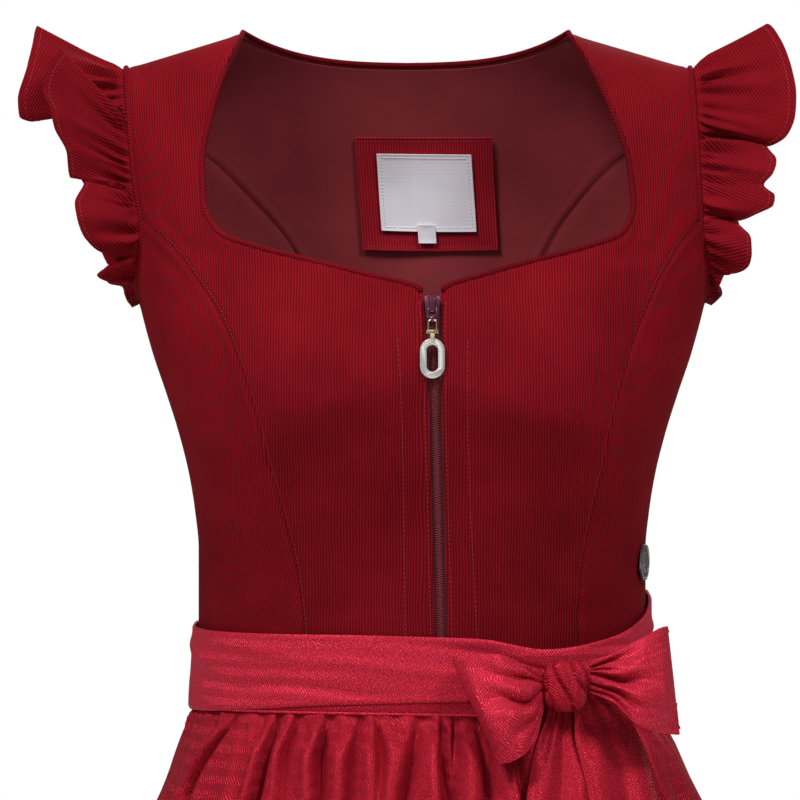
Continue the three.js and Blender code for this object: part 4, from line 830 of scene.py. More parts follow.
# The columns stand as at the neck above and are even halfway down, so that none runs over the next.
neck_share = (back_top[:, 0] - back_top[0, 0]) / (back_top[-1, 0] - back_top[0, 0])
low_share = np.linspace(0, 1, len(back_top))
lowered = np.minimum(1, rows / (BACK_ROWS / 2))[:, None]
column_share = neck_share * (1 - lowered) + low_share * lowered
from_phi, to_phi = edges[1][:, :1], edges[-1][:, :1]
back_plan[..., 0] = from_phi + (to_phi - from_phi) * column_share
NECK_FROM = (STRAP_COLUMNS - 1) / (len(back_top) - 1)
NECK_TO = (STRAP_COLUMNS + NECK_COLUMNS) / (len(back_top) - 1)
SEWN_FROM = BACK_PRINCESS_ROW / BACK_ROWS
bodice_panel(
    "bodice_back_centre", back_plan, BACK_CREASES, 180, 0,
    [("left", SEWN_FROM, 1), ("right", SEWN_FROM, 1), ("top", 0, NECK_FROM), ("top", NECK_TO, 1)],
    [("left", 0, SEWN_FROM), ("right", 0, SEWN_FROM), ("top", NECK_FROM, NECK_TO)],
)
side_plans = {}
for side, word in ((1, "left"), (-1, "right")):
    princess = edges[side][BACK_PRINCESS_ROW * BACK_FINE :]
    seam_phi = SIDE_SEAM if side > 0 else 360 - SIDE_SEAM
    seam = between(np.array([seam_phi, UNDERARM_Z]), np.array([seam_phi, WAIST_Z]), len(princess))
    arm = arm_point(np.linspace(BACK_PRINCESS_ROW, ARM_STEPS, SIDE_COLUMNS), "back", side)
    side_plans[word] = patch(princess, seam, arm, between(princess[-1], seam[-1], SIDE_COLUMNS))
    bodice_panel(
        f"bodice_side_back_{word}", side_plans[word], BACK_CREASES,
        120 if side > 0 else 240, side * 15, [("left", 0, 1), ("right", 0, 1)], [("top", 0, 1)],
    )

# %% [markdown]
# ## Lining
# The lining lies loose behind the corduroy, so it has soft waves of its own and a ridge at each
# seam. Only the part that shows through the neck is made.

# %% Lining
LINING_ROWS = 7  # of the back's table, as far as the lining is seen through the neck


def lining_panel(node, plan):
    phi, z = plan[..., 0], plan[..., 1]
    surface, normal = body_point(phi, z), body_normal(phi, z)
    across = spaced(surface, 1)
    s = girth(phi, z) - girth(np.full_like(phi, 180.0), z)
    rise = -2.4 + 0.5 * np.sin(s / 17 + 0.8 * np.sin(z / 21)) * np.sin(z / 26 + 0.6)
    for d in (across, across[:, -1:] - across):
        rise += 0.7 * np.exp(-((d / 0.8) ** 2)) - 0.5 * np.exp(-(((d - 2.6) / 1.3) ** 2))
    grid = surface + normal * rise[..., None]
    piece = cloth(node + "_cloth", grid, np.stack([s, -z], -1), LINING_THICK, LINING)
    hand_over(piece, node, grid)


lining_panel("lining_back_centre", back_plan[1 : LINING_ROWS * BACK_FINE + 1])
for word, plan in side_plans.items():
    lining_panel(f"lining_side_back_{word}", plan[1 : (LINING_ROWS - BACK_PRINCESS_ROW) * BACK_FINE + 1])

# %% [markdown]
# ## Piping
# The piping is a cord wrapped in a bias strip of the corduroy, sewn into the edge. On the bias the
# wales run slantwise round it and it looks like a fine rope. It is a tube along the edge, and its
# map lets the same corduroy turn round it.

# %% Piping
PIPING = 1.6


def tube(name, path, radius, material, sides=14, ring=False, ends=1.0):
    """A round cord through the points, in millimetres."""
    along = unit(np.roll(path, -1, 0) - np.roll(path, 1, 0) if ring else np.gradient(path, axis=0))
    lift, rises = np.array([0.0, -1, 0]), []
    for direction in along:
        side = unit(np.cross(direction, lift))
        lift = unit(np.cross(side, direction))
        rises.append(lift)
    rises = np.array(rises)
    sides_of = np.cross(along, rises)
    turns = np.linspace(0, 2 * math.pi, sides + 1)
    size = np.full(len(path), float(radius))
    if not ring:
        size[[0, -1]] *= ends
    circle = (
        sides_of[:, None] * np.cos(turns)[None, :, None] + rises[:, None] * np.sin(turns)[None, :, None]
    ) * size[:, None, None]
    grid = path[:, None] + circle
    if ring:
        grid = np.concatenate([grid, grid[:1]])
    run = spaced(grid.mean(1), 0)
    uv = np.stack(np.broadcast_arrays(turns[None] * radius, run[:, None]), -1)
    faces = grid_faces(len(grid), sides + 1)[:, ::-1].tolist()
    piece = mesh_piece(name, grid.reshape(-1, 3), faces, [material], uv.reshape(-1, 2))
    pick(piece)
    bpy.ops.object.mode_set(mode="EDIT")
    bpy.ops.mesh.select_all(action="SELECT")
    bpy.ops.mesh.remove_doubles(threshold=0.01 * MM)
    bpy.ops.mesh.fill_holes(sides=0)
    bpy.ops.mesh.normals_make_consistent(inside=False)
    bpy.ops.object.mode_set(mode="OBJECT")
    return piece

# %% [markdown]
# ## Piped edges
# The cord lies along the edge, its middle a little below the surface. One length runs round the
# neck from zip top to zip top, and one goes all the way round each armhole.

# %% Piped edges
def on_edge(plan, depth=-0.5):
    return body_point(plan[:, 0], plan[:, 1]) + body_normal(plan[:, 0], plan[:, 1]) * depth


CORD_POINTS = 97
rows = np.linspace(1, NECK_ROW, CORD_POINTS)
neck_line = np.concatenate([
    front_edge(FRONT_INNER, rows, -1)[::-1],
    shoulder_seam(-1, True, 2)[1:], back_neck[::-1], shoulder_seam(1, True, 2)[1:],
    front_edge(FRONT_INNER, rows, 1),
])
piping = tube("neck_piping_cord", on_edge(neck_line), PIPING, CORDUROY_BIAS, ends=0.5)
hand_over(piping, "neck_piping")
for side, word in ((1, "left"), (-1, "right")):
    steps = np.linspace(0, ARM_STEPS, CORD_POINTS)
    down, up = arm_point(steps, "front", side), arm_point(steps, "back", side)[1:-1][::-1]
    arm_line = on_edge(np.concatenate([down, up]))
    piping = tube(f"armhole_piping_{word}_cord", arm_line, PIPING, CORDUROY_BIAS, ring=True)
    hand_over(piping, f"armhole_piping_{word}")

# %% [markdown]
# ## Sleeve ruffles
# A ruffle is a crescent of corduroy gathered round the armhole. Its waves grow from tight
# puckers at the seam to wide flutes at the free edge, and the top flap stands up over the shoulder.
# The tables give the flutes one by one: the free edge's points in front, and how far it reaches and
# swings behind the shoulder.

# %% Ruffles
RUFFLE_EDGES = {
    "right": table(
        "along x z ahead",
        (0, -213.2, 2.6, -4), (0.02, -214.3, -7.8, 2), (0.045, -216.5, -22, 8),
        (0.07, -220.7, -39.2, 10), (0.088, -220, -49.3, 6), (0.104, -214, -51.6, 0),
        (0.12, -205.1, -45.2, -6), (0.134, -201.2, -33.1, -6), (0.147, -199.7, -21.4, 0),
        (0.16, -196.6, -12.9, 10), (0.18, -202.6, -23.8, 17), (0.2, -204.6, -34.4, 20),
        (0.225, -201.2, -46.5, 21), (0.25, -198.6, -56.7, 19), (0.28, -191.9, -70.6, 14),
        (0.305, -190.8, -83.4, 8), (0.328, -181.6, -80.7, -2), (0.345, -183.3, -87.2, 6),
        (0.37, -187, -96.9, 14), (0.4, -185.7, -106.3, 17), (0.45, -182, -116, 15),
        (0.51, -175.4, -123.5, 9), (0.575, -165.8, -128.6, -3), (0.62, -171.3, -131.6, 5),
        (0.68, -175.8, -136.7, 11), (0.75, -170.5, -140.4, 8), (0.83, -164, -142.4, 0),
        (0.9, -162.5, -148.5, 2), (0.97, -160.5, -152.8, 0),
    ),
    "left": table(
        "along x z ahead",
        (0, 191.2, 3.7, -4), (0.02, 197.2, -5.2, 3), (0.045, 202, -21.6, 10),
        (0.07, 203.9, -35.6, 13), (0.1, 202.9, -49.2, 12), (0.13, 197.5, -61.4, 6),
        (0.155, 188.4, -65.2, -3), (0.178, 184.4, -59.4, -8), (0.2, 189.4, -66.4, -2),
        (0.222, 192.5, -73.4, 6), (0.245, 190, -81.3, 10), (0.268, 185.2, -87.3, 8),
        (0.288, 190.1, -92.5, 15), (0.31, 188.9, -98.6, 16), (0.34, 180.2, -103.7, 9),
        (0.37, 171.2, -106.6, -2), (0.39, 168.1, -104.8, -5), (0.415, 173.6, -110.1, 3),
        (0.45, 177.2, -116.5, 12), (0.49, 177.6, -124.7, 14), (0.54, 175.6, -132.3, 12),
        (0.6, 168.5, -135.9, 5), (0.655, 160.9, -136.2, -4), (0.7, 159, -140.2, 0),
        (0.76, 161.2, -143.1, 6), (0.83, 163.5, -146.8, 2), (0.9, 162, -149.6, 0),
        (0.97, 160.3, -151.8, 0),
    ),
}
RUFFLE_BACKS = {
    "right": table(
        "along reach swing slide",
        (-0.97, 2, 0, 0), (-0.86, 9, 3, 0), (-0.76, 14, -4, 0), (-0.66, 22, 7, 2), (-0.56, 26, -6, 0),
        (-0.46, 33, 9, 3), (-0.36, 36, -8, 0), (-0.25, 44, 10, 4), (-0.14, 50, -8, 0), (-0.06, 50, 4, 0),
    ),
    "left": table(
        "along reach swing slide",
        (-0.97, 2, 0, 0), (-0.87, 8, 3, 0), (-0.77, 13, -4, 0), (-0.67, 20, 6, 2), (-0.57, 24, -6, 0),
        (-0.47, 31, 9, 3), (-0.36, 34, -8, 0), (-0.26, 41, 9, 4), (-0.15, 42, -7, 0), (-0.06, 38, 3, 0),
    ),
}
print("points of the free edges:", [len(rule["along"]) for rule in RUFFLE_EDGES.values()])

# %% [markdown]
# ## Free edge of a ruffle
# In front, the free edge is a line of points with its own depth. Behind the shoulder it isn't seen
# so closely, and there the edge is reached from the armhole: so far out, and swung to and fro.

# %% Free edge of a ruffle
FLARE, CENTRE_Y, CENTRE_Z = math.radians(22), 28, -86
RUFFLE_COLUMNS, RUFFLE_ROWS, RUFFLE_THICK = 360, 26, 1.1
CRESCENT_INNER, CRESCENT_OUTER = 70, 115  # radii of the crescent that a ruffle is cut as
stitched = {}


def arm_at(along, side):
    front = arm_point(np.abs(along) * ARM_STEPS, "front", side)
    back = arm_point(np.abs(along) * ARM_STEPS, "back", side)
    plan = np.where((along >= 0)[..., None], front, back)
    return on_edge(plan, -0.8)


def ruffle_edge(side, word):
    """The free edge's points, with the place along the armhole that each hangs from."""
    rule, front = RUFFLE_BACKS[word], RUFFLE_EDGES[word]
    foot = arm_at(rule["along"], side)
    radial = unit((foot - np.array([0, CENTRE_Y, CENTRE_Z])) * (0, 1, 1))
    lateral = np.array([side, 0.0, 0.0])
    width = lateral * math.cos(FLARE) + radial * math.sin(FLARE)
    swing = radial * math.cos(FLARE) - lateral * math.sin(FLARE)
    tangent = unit(arm_at(rule["along"] + 0.01, side) - arm_at(rule["along"] - 0.01, side))
    reach, wave, slide = (rule[c][:, None] for c in ("reach", "swing", "slide"))
    behind = foot + width * (2.2 + reach) + swing * wave + tangent * slide
    before = np.stack([front["x"], arm_at(front["along"], side)[:, 1] - front["ahead"], front["z"]], -1)
    points = np.concatenate([behind, before])
    along = np.concatenate([rule["along"], front["along"]])
    return {"row": np.arange(len(along)), "along": along, **dict(zip("xyz", points.T))}

# %% [markdown]
# ## Cloth of a ruffle
# The cloth spans from the armhole to the free edge. Fine tucks stand up beside the seam, softer
# waves run out of them, and the edge rolls a little. Its wales fan out, as on a crescent cut flat.

# %% Cloth of a ruffle
for side, word in ((1, "left"), (-1, "right")):
    rule = ruffle_edge(side, word)
    row = np.linspace(0, len(rule["row"]) - 1, RUFFLE_COLUMNS)
    along = read(rule, "row", "along", row)
    edge = np.stack([read(rule, "row", c, row) for c in "xyz"], -1)
    foot = arm_at(along, side) + np.array([side * 1.6, 0, 0])
    reach = np.linalg.norm(edge - foot, axis=-1)
    run = spaced(edge, 0)
    swing = unit(np.cross(np.gradient(edge, axis=0) + np.gradient(foot, axis=0), edge - foot))
    forward = (0.3 * side, -1, 0.4)
    swing *= np.sign((swing * forward).sum(-1, keepdims=True))
    v = np.linspace(0, 1, RUFFLE_ROWS)[:, None]
    fade = np.clip(reach / 26, 0, 1)
    tucks = 2.0 * np.sin(run / 1.9 + 1.4 * np.sin(run / 8)) * (1 - v) ** 2 * np.minimum(1, v * 9)
    soft = 3.0 * np.sin(run / 4.6 + 1.1 * np.sin(run / 13)) * (1 - v) * np.minimum(1, v * 4)
    roll = 0.9 * np.sin(run / 7 + 2.0) * v**3
    grid = foot + (edge - foot) * v[..., None] + swing * ((tucks + soft + roll) * fade)[..., None]
    fan = (run - np.interp(0, along, run)) / CRESCENT_OUTER
    from_middle = CRESCENT_INNER + reach * v
    uv = np.stack([from_middle * np.cos(fan), from_middle * np.sin(fan)], -1)
    piece = cloth(f"ruffle_{word}_cloth", grid, uv, RUFFLE_THICK, CORDUROY, away=forward)
    hand_over(piece, f"ruffle_{word}", grid)
    hem = grid[-3] + (grid[-2] - grid[-3]) * 0.3
    stitched[f"ruffle_hem_{word}"] = (hem, swing)

# %% [markdown]
# ## Zip
# A coil zip is a woven tape at each side with a nylon coil sewn to it. When it is closed the two
# coils mesh into a row of short slanted bars. The bars are one small shape, repeated down the line.

# %% Zip tape and coil
TAPE_SUNK, COIL_SUNK, COIL_PITCH, COIL_APART = 2.5, 1.9, 0.62, 0.45
zip_z = np.linspace(-151, -371, 111)
half_across = np.array([0.5, 1.6, 2.4, 3.2, 4.6, 6, 9.5])
across = np.concatenate([-half_across[::-1], half_across])
phi = phi_of(zip_x(zip_z)[:, None] + across[None], zip_z[:, None] + 0 * across[None])
zz = np.broadcast_to(zip_z[:, None], phi.shape)
tape_grid = body_point(phi, zz) - body_normal(phi, zz) * TAPE_SUNK
tape_uv = np.stack(np.broadcast_arrays(across[None], -zip_z[:, None]), -1)
tape = cloth("zip_tape_weave", tape_grid, tape_uv, 0.7, TAPE)
hand_over(tape, "zip_tape", tape_grid)


def beads(name, centres, along, outs, half, material, sides=6):
    """Many small rounded bars: half holds their half length, half width and half height."""
    along, outs = unit(along), unit(outs)
    side = unit(np.cross(along, outs))
    outs = np.cross(side, along)
    ring = np.linspace(0, 2 * math.pi, sides, endpoint=False)
    profile = [(-1, 0.25), (-0.8, 0.75), (0.0, 1.0), (0.8, 0.75), (1, 0.25)]
    template = np.array([(t, r * math.cos(a), r * math.sin(a)) for t, r in profile for a in ring])
    a, b, c = (template[:, k, None] * half[k] for k in range(3))
    count, size = len(centres), len(template)
    points = centres[:, None] + along[:, None] * a + side[:, None] * b + outs[:, None] * c
    one = grid_faces(len(profile), sides, wrap=True)
    faces = (one[None] + (np.arange(count) * size)[:, None, None]).reshape(-1, 4)
    caps = []
    for k in range(count):
        caps.append([k * size + i for i in range(sides)])
        caps.append([k * size + size - 1 - i for i in range(sides)])
    return mesh_piece(name, points.reshape(-1, 3), faces[:, ::-1].tolist() + caps, [material])


coil_z = np.arange(-152.5, -370, -COIL_PITCH)
swap = np.where(np.arange(len(coil_z)) % 2, 1.0, -1.0)
phi = phi_of(zip_x(coil_z) + swap * COIL_APART, coil_z)
normal = body_normal(phi, coil_z)
centres = body_point(phi, coil_z) - normal * COIL_SUNK
slope = unit(np.stack([np.ones_like(coil_z), np.zeros_like(coil_z), swap * 0.18], -1))
add_trim(beads("zip_coil", centres, slope, normal, (1.6, 0.3, 0.8), COIL))
print("coil bars:", len(coil_z))

# %% [markdown]
# ## Slider, stub and ring pull
# These are small die castings whose solids are right, so each is taken over from its solid.
# The copy's triangles are joined into faces and every edge gets a small bevel, because cast and
# plated edges are never sharp, and a thin bright line along them is what makes metal look real.

# %% Metal parts of the zip
def cast_copy(node, width, material, body, segments):
    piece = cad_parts[node].copy()
    piece.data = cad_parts[node].data.copy()
    for key in list(piece.keys()):
        del piece[key]
    piece.parent = None
    piece.name = node + "_casting"
    bpy.context.scene.collection.objects.link(piece)
    piece.data.materials.clear()
    piece.data.materials.append(material)
    pick(piece)
    bpy.ops.object.mode_set(mode="EDIT")
    bpy.ops.mesh.select_all(action="SELECT")
    bpy.ops.mesh.remove_doubles(threshold=0.004 * MM)
    bpy.ops.mesh.dissolve_limited(angle_limit=math.radians(4))
    bpy.ops.object.mode_set(mode="OBJECT")
    with_modifier(
        piece, "BEVEL", width=width * MM, segments=segments, limit_method="ANGLE",
        angle_limit=math.radians(35), harden_normals=False,
    )
    bpy.ops.object.shade_smooth_by_angle(angle=math.radians(40))
    hand_over(piece, node, body=body)
    return piece


cast_copy("zip_slider", 0.22, LACQUER, "root", 3)
cast_copy("zip_stub", 0.12, LACQUER, "stub", 2)
ring = cast_copy("zip_ring", 0.12, PALE_GOLD, "ring", 2)
ring.data.materials.append(SILVER_FACE)
EYE_LENGTH = 9.4  # the ring's upper part, whose faces stay gold
face_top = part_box("zip_ring")[1].z - EYE_LENGTH * MM
for polygon in ring.data.polygons:
    if abs(polygon.normal.y) > 0.98 and polygon.center.z < face_top and polygon.area > 1e-6:
        polygon.material_index = 1

# %% [markdown]
# ## Patch, label and size tag
# A square of corduroy is sewn inside the back neck and carries the woven label, with a small tag
# caught under its lower edge. Both are plain ribbon. They follow the lining, a few millimetres proud.

# %% Patch and labels
def inside_piece(node, x0, x1, top, low, out, thick, material, bow, turn=0.0):
    cols, rows = max(6, int(abs(x1 - x0))), max(6, int(abs(top - low)))
    u, v = np.linspace(0, 1, cols)[None], np.linspace(0, 1, rows)[:, None]
    x = x0 + (x1 - x0) * u + 0 * v
    z = top + (low - top) * v + bow * np.sin(math.pi * u) * v + turn * (u - 0.5)
    phi = phi_of(x, z, back=True)
    edge = np.minimum.reduce([(x0 - x), (x - x1), (top - z) + 0 * x, (z - low) + 0 * x])
    lift = -out - 0.35 * np.exp(-np.maximum(edge, 0) / 1.4) + 0.25 * np.sin(x / 9) * np.sin(z / 11)
    grid = body_point(phi, z) + body_normal(phi, z) * lift[..., None]
    piece = cloth(node + "_cloth", grid, np.stack([x, -z], -1), thick, material, away=(0, -1, 0))
    hand_over(piece, node, grid)
    border = [grid[2, 2:-2], grid[2:-2, -3], grid[-3, 2:-2][::-1], grid[2:-2, 2][::-1]]
    stitched[node] = (np.concatenate(border), np.tile([0.0, -1, 0], (sum(map(len, border)), 1)))


# The patch takes the lighter copy of the corduroy, painted light.
inside_piece("neck_patch", 46, -33, -53, -117, 5.0, 0.9, CORDUROY_PAINTED_LIGHT, -0.8)
inside_piece("neck_label", 34, -21.5, -62, -106, 6.2, 0.5, RIBBON, -0.4, 0.6)
inside_piece("size_tag", 10.4, -0.2, -102.4, -113, 6.8, 0.4, RIBBON, 0)

# %% [markdown]
# ## Badge
# A small round ornament of antique silver is pinned at the wearer's left side. It has a rope rim
# and a ring of petals. It is shaped from a disc, whose rings are inset and raised in turn, and then
# the rim and the petals are waved round it.

# %% Badge
BADGE_X, BADGE_Z, BADGE_RADIUS, BADGE_BASE = 119, -292, 9.8, 1.2
RIM_FROM, PETALS_FROM = 8.0, 3.0
bpy.ops.mesh.primitive_circle_add(vertices=72, radius=BADGE_RADIUS * MM, fill_type="NGON")
badge = bpy.context.object
badge.name = "badge_disc"
bpy.ops.object.mode_set(mode="EDIT")
bpy.ops.mesh.select_all(action="SELECT")
bpy.ops.mesh.extrude_region_move(TRANSFORM_OT_translate={"value": (0, 0, BADGE_BASE * MM)})
for inset, rise in ((0.35, 0.35), (1.0, 0.1), (0.35, -0.5), (2.6, 0.1), (0.3, 0.35), (1.6, 0.35)):
    bpy.ops.mesh.inset(thickness=inset * MM)
    bpy.ops.transform.translate(value=(0, 0, rise * MM))
bpy.ops.mesh.select_all(action="SELECT")
bpy.ops.mesh.normals_make_consistent(inside=False)
bpy.ops.object.mode_set(mode="OBJECT")
petals = np.array([v.co for v in badge.data.vertices])
radius = np.hypot(petals[:, 0], petals[:, 1]) / MM
angle = np.arctan2(petals[:, 1], petals[:, 0])
raised = petals[:, 2] > 1.0 * MM
rim, petal = raised & (radius > RIM_FROM), raised & (radius < RIM_FROM) & (radius > PETALS_FROM)
petals[:, 2] += np.where(rim, 0.14 * np.cos(angle * 36), 0) * MM
petals[:, 2] += np.where(petal, 0.3 * np.cos(angle * 8), 0) * MM
for vertex, place in zip(badge.data.vertices, petals):
    vertex.co = place
phi = phi_of(np.array([BADGE_X]), np.array([BADGE_Z]))
out = body_normal(phi, np.array([BADGE_Z]))[0]
seat = body_point(phi, np.array([BADGE_Z]))[0] + out * 0.9
badge.matrix_world = Vector(out).to_track_quat("Z", "Y").to_matrix().to_4x4()
badge.location = Vector(seat * MM)
bpy.ops.object.transform_apply(location=True, rotation=True)
badge.data.materials.append(DARK_SILVER)
bpy.ops.object.shade_smooth_by_angle(angle=math.radians(35))
hand_over(badge, "badge")

# %% [markdown]
# ## Skirt
# The skirt is six widths of corduroy, gathered to the waist. Gathers start narrow and shallow at the
# seam and fall into broad rounded folds. The solids hold each fold's crest and trough, and the
# cloth here runs smoothly through the same places. Its rows stand closest at the waist, where the
# gathers are finest.

# %% Skirt
SKIRT = table(
    "z side front back fold",
    (-972, 286, 242, 268, 13), (-880, 270, 228, 252, 12.5), (-760, 246, 206, 228, 12),
    (-640, 217, 178, 198, 10.5), (-540, 186, 148, 164, 9), (-470, 160, 124, 134, 7),
    (-424, 141, 108, 112, 4.6), (-394, 129.5, 97.5, 98, 2.6), (-380, 124.2, 92.5, 91.5, 1),
    (-372, 122.4, 91, 89.6, 0.6),
)
SKIRT_TOP, SKIRT_HEM, SKIRT_SEAM_Z = -372.3, -972, -371
ALLOWANCE = 5.5  # the seam's own cloth, that stands up inside the bodice except at the zip
HIP_IN = 8  # the wearer's right side hangs a little closer below the waist
SKIRT_PANELS = (
    ("skirt_front_left", 0, 60, 6), ("skirt_side_left", 60, 130, 8),
    ("skirt_back_left", 130, 180, 7), ("skirt_back_right", 180, 230, 7),
    ("skirt_side_right", 230, 300, 8), ("skirt_front_right", 300, 360, 6),
)
SKIRT_ROWS, FOLD_COLUMNS, SKIRT_POWER = 64, 16, 2 / 2.3


def skirt_point(phi, z, out):
    phi, z, out = np.broadcast_arrays(phi, z, out)
    side, front, back = (read(SKIRT, "z", c, z) for c in ("side", "front", "back"))

    def bare(angle):
        turn = np.radians(angle)
        facing = np.cos(turn)
        wide = np.where(np.sin(turn) < 0, side - HIP_IN * np.exp(-(((z + 425) / 45) ** 2)), side)
        deep = np.where(facing >= 0, front, back)
        return wide * powered(np.sin(turn), SKIRT_POWER), -deep * powered(facing, SKIRT_POWER)

    (ax, ay), (bx, by), (x, y) = bare(phi - 1), bare(phi + 1), bare(phi)
    normal = unit(np.stack([by - ay, ax - bx, 0 * z], -1))
    return np.stack([x, y, z], -1) + normal * out[..., None]

# %% [markdown]
# ## Gathers of the skirt
# No hand gathers cloth evenly, so the folds differ in width and depth by a slow wave. Each panel
# starts and ends in a trough, where the seam hides. Under the apron the folds lie flatter.

# %% Gathered skirt panels
def uneven(count, seed):
    """Shares from 0 to 1 with steps of unlike width."""
    i = np.arange(count)
    widths = 1 + 0.3 * np.sin(2.4 * i + seed) + 0.18 * np.sin(5.1 * i)
    return np.concatenate([[0], np.cumsum(widths / widths.sum())])


def unlike(i, seed):
    return 0.82 + 0.18 * np.sin(1.7 * i + seed)


def ease(t):
    t = np.clip(t, 0, 1)
    return t * t * (3 - 2 * t)


def through(values, j):
    """Rounded crests and troughs through one value at each whole j."""
    i = np.clip(j.astype(int), 0, len(values) - 2)
    blend = (1 - np.cos(math.pi * (j - i))) / 2
    return values[i] * (1 - blend) + values[i + 1] * blend


for node, start, end, folds in SKIRT_PANELS:
    knots = np.arange(folds * 2 + 1)
    j = np.linspace(0, folds * 2, folds * FOLD_COLUMNS + 1)
    phi = start + (end - start) * np.interp(j, knots, uneven(folds * 2, start))
    rounds = np.minimum(phi, 360 - phi)
    free = 0.3 + 0.7 * ease((rounds - 92) / 20)
    crest = np.where(knots % 2 == 1, unlike(knots, start), -unlike(knots, start + 1))
    crest[[0, -1]] = -0.82
    top = SKIRT_TOP + ALLOWANCE * ease((rounds - 10) / 6)[None]
    z = top + (SKIRT_HEM - top) * np.linspace(0, 1, SKIRT_ROWS)[:, None] ** 1.45
    fold = read(SKIRT, "z", "fold", z)
    small = 0.9 * np.sin(j * 2.7 + start) * np.exp((z + 372) / 60) + 0.8 * np.sin(j * 1.3 + z / 90)
    out = (fold * through(crest, j)[None] + small * 0.6) * free[None]
    grid = skirt_point(phi[None], z, out)
    width = spaced(grid, 1)
    uv = np.stack([np.broadcast_to(width[-1:], width.shape), np.broadcast_to(-z, width.shape)], -1)
    piece = cloth(node + "_cloth", grid, uv, PANEL_THICK, CORDUROY)
    hand_over(piece, node, grid)

# %% [markdown]
# ## Apron
# A width of satin about three times the waist's front is gathered to a narrow band. Just below the
# band the gathers are fine, uneven and deep. They merge into broad folds further down.
# A narrow hem runs down each side.
# No two gathers are alike, so the folds below the band are listed one by one: where a fold's slot
# is seen at three heights, how deep it is there, and how wide. The threads of the warp run along the
# folds, so the grid follows them too, and the weave isn't stretched on the walls of a slot.

# %% Apron
APRON = table(
    "z out broad",
    (-940, 20, 10.5), (-800, 19.5, 10), (-660, 18, 8.6), (-560, 16, 7), (-490, 13.8, 5),
    (-440, 12.2, 2.8), (-410, 11, 0.9), (-392, 9.6, 0.2), (-380, 7, 0), (-376, 5.4, 0), (-371, 3.6, 0),
)
BAND_LOW = table("phi z", (-97, -371.6), (-58, -370.4), (-20, -370), (20, -371.2), (97, -372))
APRON_FOLDS = table(
    "xa xb xc da db dc width",
    (-100.3, -112.4, -122.4, 1.5, 4, 4.5, 3.6), (-78.8, -82.5, -86.7, 3.2, 4, 5.5, 3.2),
    (-68.8, -72.5, -73.5, 3, 3, 1, 3.2), (-52, -54.6, -53.6, 3.4, 6, 3.4, 3.6),
    (-33.1, -37.8, -38.4, 2.4, 3, 3.2, 4.4), (-25.8, -22.1, -23.1, 2.8, 2.4, 0.9, 3.2),
    (-2.1, -6.3, -10.5, 2.8, 4, 4.2, 5), (10.5, 9.9, 12.1, 3.2, 3.4, 5.5, 2.8),
    (17.3, 16.3, 15.2, 3.2, 1.6, 0.4, 2.6), (28.9, 33.1, 33.6, 3.4, 6, 5, 4.4),
    (45.7, 49.9, 52.5, 2, 3.4, 4.4, 3.2), (64, 61.4, 57.7, 2, 4, 3.4, 3.6),
    (80, 84, 88, 2, 3, 3, 4), (100, 104, 108, 2, 3, 3, 4), (116.5, 120.2, 125.4, 3, 3.4, 3.6, 3.4),
    (126, 132, 139, 1.5, 2.4, 2.6, 3),
)
FOLD_HEIGHTS, FOLDS_END = (-370, -392, -413), -510
APRON_HEM_Z, APRON_EDGE, SIDE_HEM, GATHERS, TUCKS = -934.3, 97, 2.5, 36, 74
APRON_COLUMNS, APRON_ROWS, APRON_THICK = 600, 56, 0.9
CUT_ROW, SPREAD_FROM_Z, SPREAD_OVER = 11, -430, 500
TUCK_DEPTHS = np.random.default_rng(11).uniform(-1.0, 1.0, TUCKS + 2)

# %% [markdown]
# ## Lines of the folds
# The slots are read as places across the front, at three heights, and turned to angles round the
# skirt. The columns of the grid are then led along these lines.

# %% Lines of the folds
def angle_at(x, z):
    """The angle round the skirt where the apron's cloth is seen at x."""
    angles = np.linspace(-88, 88, 353)
    return np.interp(x, skirt_point(angles, z + 0 * angles, 9.0 + 0 * angles)[:, 0], angles)


FOLD_LINES = np.array([
    [-APRON_EDGE] * 3,
    *[[angle_at(x, h) for x, h in zip(row[:3], FOLD_HEIGHTS)] for row in rows_of(APRON_FOLDS)],
    [APRON_EDGE] * 3,
])


def fold_line(k, z):
    """The angle of one fold's slot, by height."""
    return np.interp(-z, [-h for h in FOLD_HEIGHTS], FOLD_LINES[k])


def along_folds(even, z):
    """Angles that keep each thread of the warp on its own fold, from evenly spaced ones."""
    phi = np.zeros(np.broadcast(even, z).shape)
    middle = FOLD_LINES[:, 1]
    for k in range(len(middle) - 1):
        share = (even - middle[k]) / (middle[k + 1] - middle[k])
        here = fold_line(k, z) + (fold_line(k + 1, z) - fold_line(k, z)) * share
        phi = np.where((share >= 0) & (share <= 1), here, phi)
    return phi


print("folds below the band:", len(FOLD_LINES) - 2)

# %% [markdown]
# ## Depth of the apron
# The apron stands out by a base depth, broad folds, a fullness from the wearer's right side to the
# middle, the slots with their rounded crests, and small tucks at the band. It never sinks into the
# skirt under it.

